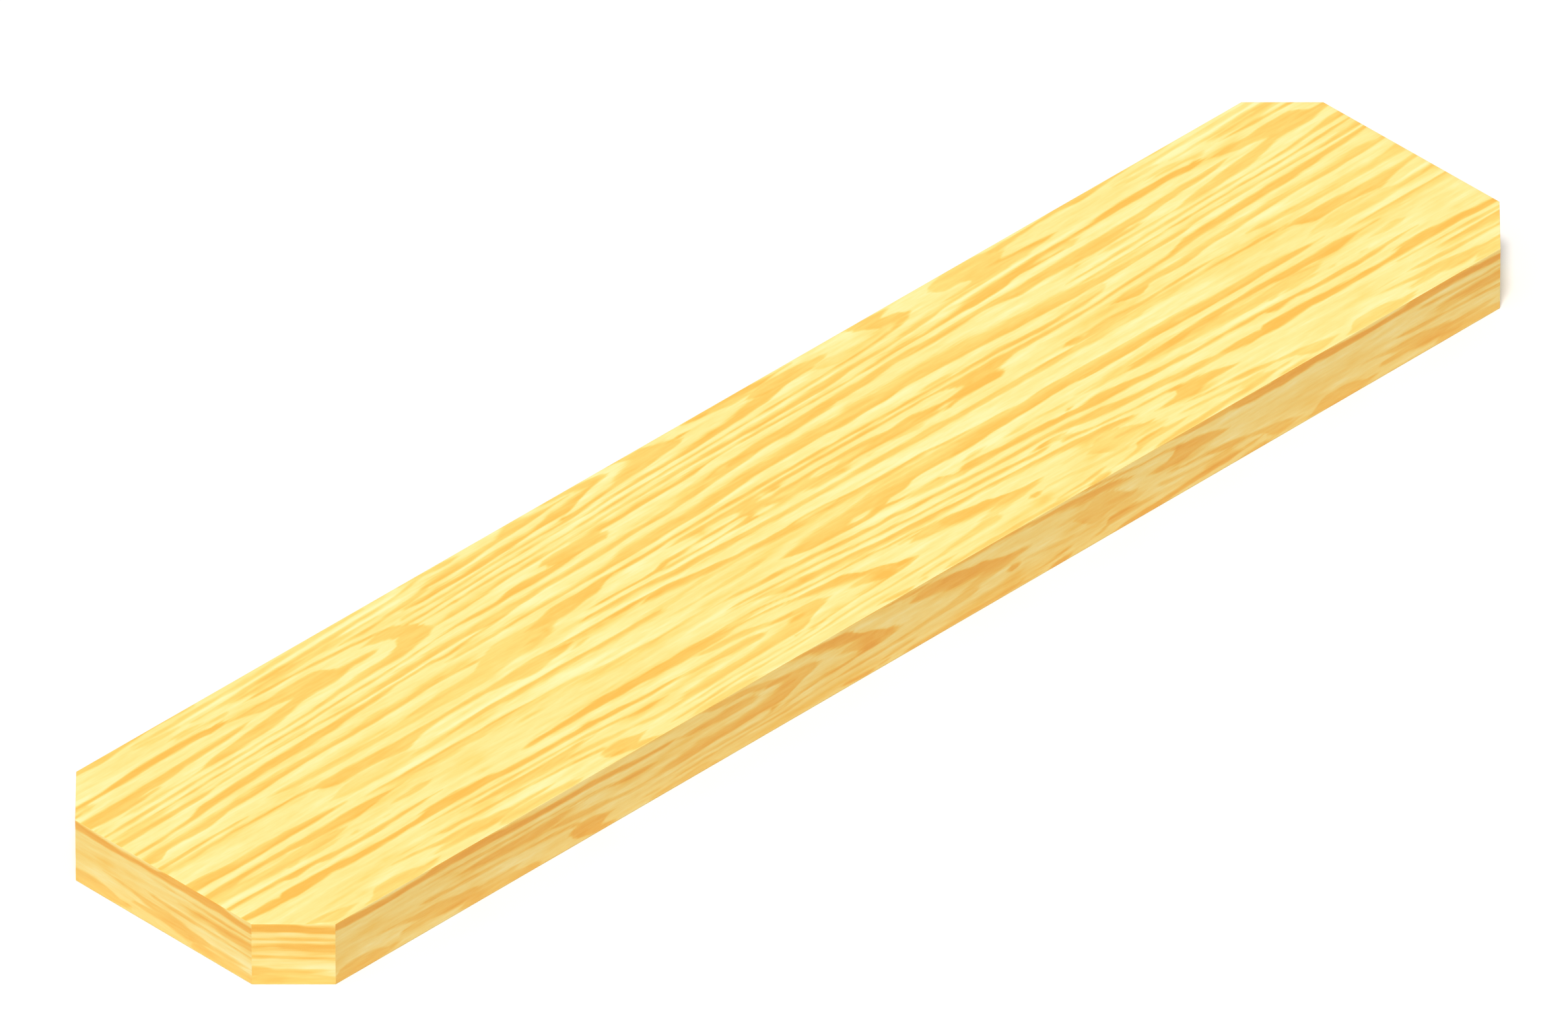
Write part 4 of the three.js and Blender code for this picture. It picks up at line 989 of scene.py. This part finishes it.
def sawn_plank_mesh(easing):
    """The whole plank as one closed bmesh, fine enough on every shown face to carry the growth bands."""
    bm = bmesh.new()
    add_clipped_grid(bm)
    lifted = bmesh.ops.extrude_face_region(bm, geom=bm.faces[:], use_keep_orig=True)
    lifted = [part for part in lifted["geom"] if isinstance(part, bmesh.types.BMVert)]
    bmesh.ops.translate(bm, verts=lifted, vec=(0, 0, THICKNESS))
    bmesh.ops.recalc_face_normals(bm, faces=bm.faces[:])
    coarsen_underside(bm)
    posts = [e for e in bm.edges if abs(e.verts[0].co.z - e.verts[1].co.z) > THICKNESS / 2]
    bmesh.ops.subdivide_edges(bm, edges=posts, cuts=WALL_ROWS - 1, use_grid_fill=True)
    rims = [e for e in bm.edges if abs(e.link_faces[0].normal.z - e.link_faces[1].normal.z) > 0.5]
    bmesh.ops.bevel(
        bm,
        geom=rims,
        offset=easing,
        offset_type="OFFSET",
        segments=EASING_ROWS,
        profile=0.5,
        affect="EDGES",
        material=-1,
        clamp_overlap=False,
    )
    bmesh.ops.translate(bm, verts=bm.verts[:], vec=(0, 0, LOW.z))
    open_edges = [e for e in bm.edges if len(e.link_faces) != 2]
    if open_edges:
        raise RuntimeError(f"the plank's mesh is open at {len(open_edges)} edges")
    return bm


# ---------------------------------------------------------------- the bands on the faces

# What one step along a slanting face comes to along each edge of the plank.
DIAGONAL = math.sqrt(0.5)

# Faces of the plank, each with the direction it looks in.
FACES = {
    "upper": (0, 0, 1),
    "lower": (0, 0, -1),
    "front": (0, -1, 0),
    "back": (0, 1, 0),
    "left": (-1, 0, 0),
    "right": (1, 0, 0),
    "front_left": (-DIAGONAL, -DIAGONAL, 0),
    "front_right": (DIAGONAL, -DIAGONAL, 0),
    "back_left": (-DIAGONAL, DIAGONAL, 0),
    "back_right": (DIAGONAL, DIAGONAL, 0),
}

# Where each face's part of the sheet starts, along and across the grain, in millimetres.
SHEET_START = {
    "upper": (0, 0),
    "lower": (390, 0),
    "front": (41, 0),
    "back": (300, 100),
    "left": (48.5, 0),
    "right": (520, 60),
    "front_left": (203, 0),
    "front_right": (620, 30),
    "back_left": (800, 150),
    "back_right": (330, 110),
}

# Share of the painted shade on the long sides, the ends and the corner cuts, which darkens and warms them as
# if they were less lit than the broad faces. The broad faces take none.
LONG_SIDE_SHADE = 1.0
END_SHADE = 0.72
CUT_SHADE = 0.43

# The soft wood sinks between these depths outside a band, and between these distances from an arris, in
# millimetres.
SINK_DEPTHS = (-2.5, 0.5)
SINK_INSET = (1.2, 4.0)


def painted_shade_of_face(direction):
    """Share of the painted shade a face takes, from the direction it looks in."""
    if direction[2]:
        return 0.0
    if direction[0] and direction[1]:
        return CUT_SHADE
    return END_SHADE if direction[0] else LONG_SIDE_SHADE


def place_on_sheet(name, x, y, z):
    """Where on the sheet of wood a face's points lie, in mm along and across the grain."""
    x, y, z = (x - LOW.x) / MM, (y - LOW.y) / MM, (z - LOW.z) / MM
    length, width = LENGTH / MM, WIDTH / MM
    from_corner = (CUT / MM - (y if name.startswith("front") else width - y)) / DIAGONAL
    runs = {"upper": x, "lower": x, "front": x, "back": length - x, "left": width - y, "right": y}
    rises = {"upper": y, "lower": width - y}
    start_along, start_across = SHEET_START[name]
    return start_along + runs.get(name, from_corner), start_across + rises.get(name, z)


def inner_distance(points):
    """For each point, its distance in mm from the upper or lower rim and from the nearest wall."""
    x, y, z = points.T
    from_rim = np.minimum(z - LOW.z, HIGH.z - z)
    from_wall = np.minimum(LENGTH / 2 - np.abs(x), WIDTH / 2 - np.abs(y))
    from_cut = ((LENGTH + WIDTH) / 2 - CUT - np.abs(x) - np.abs(y)) * DIAGONAL
    return np.stack([from_rim, np.minimum(from_wall, from_cut)], 1) / MM


def read_all(items, name, columns, kind):
    """One value of all vertices, corners or faces of a mesh, as an array with this many columns."""
    values = np.empty(len(items) * columns, kind)
    items.foreach_get(name, values)
    return values.reshape(-1, columns)


def store_on_corners(mesh, name, values):
    """Keeps an array with one or three columns as an attribute of the mesh's corners."""
    kind, field = ("FLOAT_VECTOR", "vector") if values.shape[1] == 3 else ("FLOAT", "value")
    attribute = mesh.attributes.new(name, kind, "CORNER")
    attribute.data.foreach_set(field, values.astype(np.float32).ravel())


def draw_figure(mesh, relief):
    """Stores the growth bands and each face's share of painted shade on the mesh's corners, and lowers the
    soft wood between them.
    """
    points = read_all(mesh.vertices, "co", 3, np.float32).astype(float)
    corner_vertex = read_all(mesh.loops, "vertex_index", 1, np.int32).ravel()
    sizes = read_all(mesh.polygons, "loop_total", 1, np.int32).ravel()
    facing = read_all(mesh.polygons, "normal", 3, np.float32) @ np.array(list(FACES.values())).T
    face_of_corner = np.repeat(np.argmax(facing, axis=1), sizes)

    figure = np.zeros((len(corner_vertex), 3))
    sheet = np.zeros((len(corner_vertex), 3))
    painted_shade_share = np.zeros((len(corner_vertex), 1))
    moved = points.copy()
    inset = inner_distance(points)
    for number, (name, direction) in enumerate(FACES.items()):
        corners = np.flatnonzero(face_of_corner == number)
        shown, back = np.unique(corner_vertex[corners], return_inverse=True)
        along, across = place_on_sheet(name, *points[shown].T)
        depth, tone, shade = growth_figure(along, across)
        figure[corners] = np.stack([depth, tone, shade], 1)[back]
        sheet[corners] = np.stack([along, across, np.full(len(shown), float(number))], 1)[back]
        # The painted shade this face takes, from the direction it looks in.
        painted_shade_share[corners] = painted_shade_of_face(direction)
        soft = 1 - ease(*SINK_DEPTHS, depth)
        soft *= ease(*SINK_INSET, inset[shown, 1 if direction[2] else 0])
        moved[shown] -= relief * soft[:, None] * np.array(direction)
    mesh.vertices.foreach_set("co", moved.astype(np.float32).ravel())
    store_on_corners(mesh, "figure", figure)
    store_on_corners(mesh, "sheet", sheet)
    store_on_corners(mesh, "painted_shade_share", painted_shade_share)


# ---------------------------------------------------------------- the wood

# Noises drawn out along the grain, each as the length and width of its cells in millimetres and its seed.
FINE_WAVER = (20, 1.4, 1)
BROAD_WAVER = (24, 5, 2)
STREAK_NOISE = (80, 5, 3)
FIBRE_NOISE = (9, 1.4, 4)
CLOUD_NOISE = (160, 26, 5)
MOTTLE_NOISE = (26, 3.6, 6)

# How far apart the faces and the seeds lie in the noise, so that none shows another's part of it, and how
# much the noise is stretched to fill the range from -1 to 1.
FACE_STEP = 7.3
SEED_STEP = (3.7, 5.1, 1.9)
NOISE_STRETCH = 6.0

# How far, in millimetres, the two wavers push the edge of a band, and the depths it sets in between.
FINE_PUSH = 0.3
BROAD_PUSH = 0.35
BAND_EDGE = (-1.2, 1.4)

# How much darker or paler each thing makes the wood: the verge outside a band, and the noises.
VERGE_RANGE = (-10.0, -4.0)
VERGE_TONE = -0.07
STREAK_TONE = 0.055
FIBRE_TONE = 0.025
CLOUD_TONE = 0.05
MOTTLE_TONE = 0.06

# The tones that the wood's colours stand for, from the palest to the darkest.
COLOUR_TONES = {"cream": 0.0, "straw": 0.2, "honey": 0.5, "amber": 0.8, "resin": 1.0}

# How much smoother a band is than bare wood and how much rougher a fibre, and the fine grooves of the saw.
BAND_GLOSS = -0.08
FIBRE_ROUGHNESS = 0.03
FIBRE_GROOVES = 0.4
STREAK_GROOVES = 0.5
GROOVE_STRENGTH = 0.25
GROOVE_DEPTH = 0.1 * MM


class Wood:
    """The nodes of one wood material."""

    def __init__(self, name):
        self.material = bpy.data.materials.new(name)
        self.material.use_nodes = True
        self.tree = self.material.node_tree
        self.shader = self.tree.nodes["Principled BSDF"]

    def node(self, kind):
        """Adds a node of a kind."""
        return self.tree.nodes.new(kind)

    def feed(self, socket, value):
        """Links a socket's value, or sets a plain number."""
        if isinstance(value, bpy.types.NodeSocket):
            self.tree.links.new(value, socket)
        else:
            socket.default_value = value

    def math(self, operation, first, second=0.0, third=0.0):
        """The result of one sum on up to three sockets or numbers."""
        node = self.node("ShaderNodeMath")
        node.operation = operation
        for socket, value in zip(node.inputs, (first, second, third)):
            self.feed(socket, value)
        return node.outputs[0]

    def rise(self, value, low, high):
        """0 below low, 1 above high and a smooth rise between."""
        node = self.node("ShaderNodeMapRange")
        node.interpolation_type = "SMOOTHSTEP"
        self.feed(node.inputs["Value"], value)
        node.inputs["From Min"].default_value = low
        node.inputs["From Max"].default_value = high
        return node.outputs["Result"]

    def mix(self, blend, share, first, second):
        """Blends two colours by a share."""
        node = self.node("ShaderNodeMix")
        node.data_type = "RGBA"
        node.blend_type = blend
        for name, value in (("Factor", share), ("A", first), ("B", second)):
            self.feed(node.inputs[name], value)
        return node.outputs["Result"]

    def attribute(self, name):
        """The node that reads one attribute of the mesh."""
        node = self.node("ShaderNodeAttribute")
        node.attribute_name = name
        return node

    def grain(self, sheet, length, width, seed):
        """Noise drawn out along the grain, from about -1 to 1, with cells of this length and width in mm."""
        scaled = self.node("ShaderNodeVectorMath")
        scaled.operation = "MULTIPLY_ADD"
        self.feed(scaled.inputs[0], sheet)
        scaled.inputs[1].default_value = (1 / length, 1 / width, FACE_STEP)
        scaled.inputs[2].default_value = [seed * step for step in SEED_STEP]
        noise = self.node("ShaderNodeTexNoise")
        noise.noise_dimensions = "3D"
        self.feed(noise.inputs["Vector"], scaled.outputs[0])
        noise.inputs["Scale"].default_value = 1.0
        noise.inputs["Detail"].default_value = 1.0
        noise.inputs["Roughness"].default_value = 0.5
        return self.math("MULTIPLY_ADD", noise.outputs["Fac"], NOISE_STRETCH, -NOISE_STRETCH / 2)

    def ramp(self, level, stops):
        """A colour from a level, through stops of a place and a colour."""
        node = self.node("ShaderNodeValToRGB")
        self.feed(node.inputs["Fac"], level)
        elements = node.color_ramp.elements
        for element, (place, colour) in zip(elements, (stops[0], stops[-1])):
            element.position, element.color = place, (*colour, 1)
        for place, colour in stops[1:-1]:
            elements.new(place).color = (*colour, 1)
        return node.outputs["Color"]


def sawn_pine(settings):
    """Flat-sawn pine: growth bands, faint streaks and fibres, and painted shade on the sides, read from the
    mesh's own attributes.
    """
    wood = Wood("sawn_pine")
    sheet = wood.attribute("sheet").outputs["Vector"]
    parts = wood.node("ShaderNodeSeparateXYZ")
    wood.feed(parts.inputs[0], wood.attribute("figure").outputs["Vector"])
    depth, tone, shade = parts.outputs

    waver = wood.math("MULTIPLY", wood.grain(sheet, *FINE_WAVER), FINE_PUSH)
    waver = wood.math("MULTIPLY_ADD", wood.grain(sheet, *BROAD_WAVER), BROAD_PUSH, waver)
    band = wood.rise(wood.math("ADD", depth, waver), *BAND_EDGE)
    verge = wood.math("MULTIPLY", wood.rise(depth, *VERGE_RANGE), wood.math("SUBTRACT", 1.0, band))
    streak = wood.grain(sheet, *STREAK_NOISE)
    fibre = wood.grain(sheet, *FIBRE_NOISE)
    cloud = wood.grain(sheet, *CLOUD_NOISE)
    mottle = wood.grain(sheet, *MOTTLE_NOISE)

    level = wood.math("MULTIPLY_ADD", band, wood.math("SUBTRACT", tone, BARE), shade)
    level = wood.math("MULTIPLY_ADD", verge, VERGE_TONE, level)
    level = wood.math("MULTIPLY_ADD", streak, STREAK_TONE, level)
    level = wood.math("MULTIPLY_ADD", fibre, FIBRE_TONE, level)
    level = wood.math("MULTIPLY_ADD", cloud, CLOUD_TONE, level)
    level = wood.math("MULTIPLY_ADD", mottle, MOTTLE_TONE, level)
    level = wood.math("ADD", level, BARE)

    colour = wood.ramp(level, [(place, getattr(settings, name)) for name, place in COLOUR_TONES.items()])
    # Painted shade: the long sides, ends and corner cuts take a deeper, warmer colour by their share, as if
    # less lit than the broad faces.
    tint = wood.mix("MIX", level, (*settings.painted_shade_pale, 1), (*settings.painted_shade_bands, 1))
    colour = wood.mix("MULTIPLY", wood.attribute("painted_shade_share").outputs["Fac"], colour, tint)
    wood.feed(wood.shader.inputs["Base Color"], colour)

    rough = wood.math("MULTIPLY_ADD", band, BAND_GLOSS, settings.roughness)
    rough = wood.math("MULTIPLY_ADD", fibre, FIBRE_ROUGHNESS, rough)
    wood.feed(wood.shader.inputs["Roughness"], rough)

    grooves = wood.math("MULTIPLY", streak, STREAK_GROOVES)
    grooves = wood.math("MULTIPLY_ADD", fibre, FIBRE_GROOVES, grooves)
    bump = wood.node("ShaderNodeBump")
    bump.inputs["Strength"].default_value = GROOVE_STRENGTH
    bump.inputs["Distance"].default_value = GROOVE_DEPTH
    wood.feed(bump.inputs["Height"], grooves)
    wood.feed(wood.shader.inputs["Normal"], bump.outputs["Normal"])
    return wood.material


# ---------------------------------------------------------------- the stage

# The floor lies this far under the plank, so that the two never touch.
FLOOR_GAP = 0.2 * MM

# Each lamp's light travels this way and spreads this many degrees. The soft lamp's comes from high over the
# near corner, and the fill's from the left.
LAMP_TRAVEL = (0.335, 0.25, -0.9)
LAMP_SPREAD = 16
FILL_TRAVEL = (1.0, 0.0, -0.4)
FILL_SPREAD = 90

# How far, in metres, the lamps stand from the plank. Their light is the same from any distance.
LAMP_DISTANCE = 3

# The camera: its lens and sensor in millimetres, where it stands round the plank and above it in degrees,
# what it looks at, and from how many metres away.
LENS = 1100
SENSOR = 36
AZIMUTH = -45
ELEVATION = 35.264
AIM = (12.4 * MM, 21.9 * MM, 25 * MM)
DISTANCE = 32.712


def finished_mesh(bm, name, material):
    """Turns a bmesh into a mesh with one material."""
    mesh = bpy.data.meshes.new(name)
    bm.to_mesh(mesh)
    bm.free()
    mesh.materials.append(material)
    return mesh


def add_object(context, name, data):
    """Adds an object to the scene."""
    made = bpy.data.objects.new(name, data)
    context.scene.collection.objects.link(made)
    return made


def add_floor(context, settings):
    """A pale floor just under the plank."""
    bm = bmesh.new()
    bmesh.ops.create_grid(bm, x_segments=1, y_segments=1, size=settings.floor_side / 2)
    bmesh.ops.translate(bm, verts=bm.verts[:], vec=(0, 0, LOW.z - FLOOR_GAP))
    paint = bpy.data.materials.new("floor_paint")
    paint.use_nodes = True
    shader = paint.node_tree.nodes["Principled BSDF"]
    shader.inputs["Base Color"].default_value = (*settings.floor_colour, 1)
    shader.inputs["Roughness"].default_value = 0.9
    shader.inputs["Specular IOR Level"].default_value = 0.0
    floor = add_object(context, "floor", finished_mesh(bm, "floor", paint))


def set_sky(context, strength):
    """Even light from all round, and plain white where the camera or a reflection looks past the floor."""
    world = bpy.data.worlds.new("sky")
    world.use_nodes = True
    context.scene.world = world
    tree = world.node_tree
    background = tree.nodes["Background"]
    background.inputs["Color"].default_value = (1, 1, 1, 1)
    path = tree.nodes.new("ShaderNodeLightPath")
    seen = path.outputs["Is Camera Ray"]
    for other in ("Is Glossy Ray", "Is Transmission Ray"):
        either = tree.nodes.new("ShaderNodeMath")
        either.operation = "MAXIMUM"
        tree.links.new(seen, either.inputs[0])
        tree.links.new(path.outputs[other], either.inputs[1])
        seen = either.outputs[0]
    level = tree.nodes.new("ShaderNodeMapRange")
    level.inputs["To Min"].default_value = strength
    level.inputs["To Max"].default_value = 1.0
    tree.links.new(seen, level.inputs["Value"])
    tree.links.new(level.outputs["Result"], background.inputs["Strength"])


def add_lamp(context, name, strength, spread, travel):
    """A lamp as wide as its spread, in degrees, whose light travels in the given direction."""
    light = bpy.data.lights.new(name, "SUN")
    light.energy = strength
    light.angle = math.radians(spread)
    travel = Vector(travel).normalized()
    turn = travel.to_track_quat("-Z", "Y").to_matrix().to_4x4()
    add_object(context, name, light).matrix_world = Matrix.Translation(-LAMP_DISTANCE * travel) @ turn


def add_camera(context):
    """A long lens that looks down at the plank's left end and front edge."""
    data = bpy.data.cameras.new("camera")
    data.sensor_width = SENSOR
    data.lens = LENS
    data.clip_start = 1
    data.clip_end = 200
    azimuth, elevation = math.radians(AZIMUTH), math.radians(ELEVATION)
    flat = math.cos(elevation)
    back = Vector((math.sin(azimuth) * flat, -math.cos(azimuth) * flat, math.sin(elevation)))
    turn = back.to_track_quat("Z", "Y").to_matrix().to_4x4()
    camera = add_object(context, "camera", data)
    camera.matrix_world = Matrix.Translation(Vector(AIM) + DISTANCE * back) @ turn
    context.scene.camera = camera


# ---------------------------------------------------------------- operators


class OBJECT_OT_sawn_plank(bpy.types.Operator):
    """Make the sawn pine plank over its CAD solid"""

    bl_idname = "object.sawn_plank"
    bl_label = "Sawn plank"
    bl_options = {"REGISTER", "UNDO"}

    def execute(self, context):
        settings = context.scene.plank_settings
        mesh = finished_mesh(sawn_plank_mesh(settings.easing), "sawn_plank", sawn_pine(settings))
        mesh.polygons.foreach_set("use_smooth", [True] * len(mesh.polygons))
        draw_figure(mesh, settings.relief)
        mesh.set_sharp_from_angle(angle=math.radians(SHARP_ANGLE))
        plank = add_object(context, "sawn_plank", mesh)
        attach(plank, BODY)
        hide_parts(NODE)
        return {"FINISHED"}


class SCENE_OT_plank_stage(bpy.types.Operator):
    """Set the floor, the soft light and the camera around the plank"""

    bl_idname = "scene.plank_stage"
    bl_label = "Plank stage"
    bl_options = {"REGISTER", "UNDO"}

    def execute(self, context):
        settings = context.scene.plank_stage_settings
        add_floor(context, settings)
        set_sky(context, settings.sky)
        add_lamp(context, "soft_lamp", settings.lamp, LAMP_SPREAD, LAMP_TRAVEL)
        add_lamp(context, "left_fill", settings.fill, FILL_SPREAD, FILL_TRAVEL)
        add_camera(context)
        context.scene.view_settings.view_transform = "Standard"
        return {"FINISHED"}


class VIEW3D_PT_sawn_plank(bpy.types.Panel):
    """Makes the plank and its stage"""

    bl_idname = "VIEW3D_PT_sawn_plank"
    bl_label = "Sawn plank"
    bl_space_type = "VIEW_3D"
    bl_region_type = "UI"
    bl_category = "Plank"

    def draw(self, context):
        plank = self.layout.column(align=True)
        for name in PlankSettings.__annotations__:
            plank.prop(context.scene.plank_settings, name)
        plank.operator(OBJECT_OT_sawn_plank.bl_idname)
        stage = self.layout.column(align=True)
        for name in StageSettings.__annotations__:
            stage.prop(context.scene.plank_stage_settings, name)
        stage.operator(SCENE_OT_plank_stage.bl_idname)


CLASSES = (PlankSettings, StageSettings, OBJECT_OT_sawn_plank, SCENE_OT_plank_stage, VIEW3D_PT_sawn_plank)


def register():
    for each in CLASSES:
        bpy.utils.register_class(each)
    bpy.types.Scene.plank_settings = bpy.props.PointerProperty(type=PlankSettings)
    bpy.types.Scene.plank_stage_settings = bpy.props.PointerProperty(type=StageSettings)


def unregister():
    del bpy.types.Scene.plank_stage_settings
    del bpy.types.Scene.plank_settings
    for each in reversed(CLASSES):
        bpy.utils.unregister_class(each)


def main():
    """Makes the plank and its stage."""
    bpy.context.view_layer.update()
    register()
    bpy.ops.object.sawn_plank()
    bpy.ops.scene.plank_stage()
    bpy.context.view_layer.update()


if __name__ == "__main__":
    main()
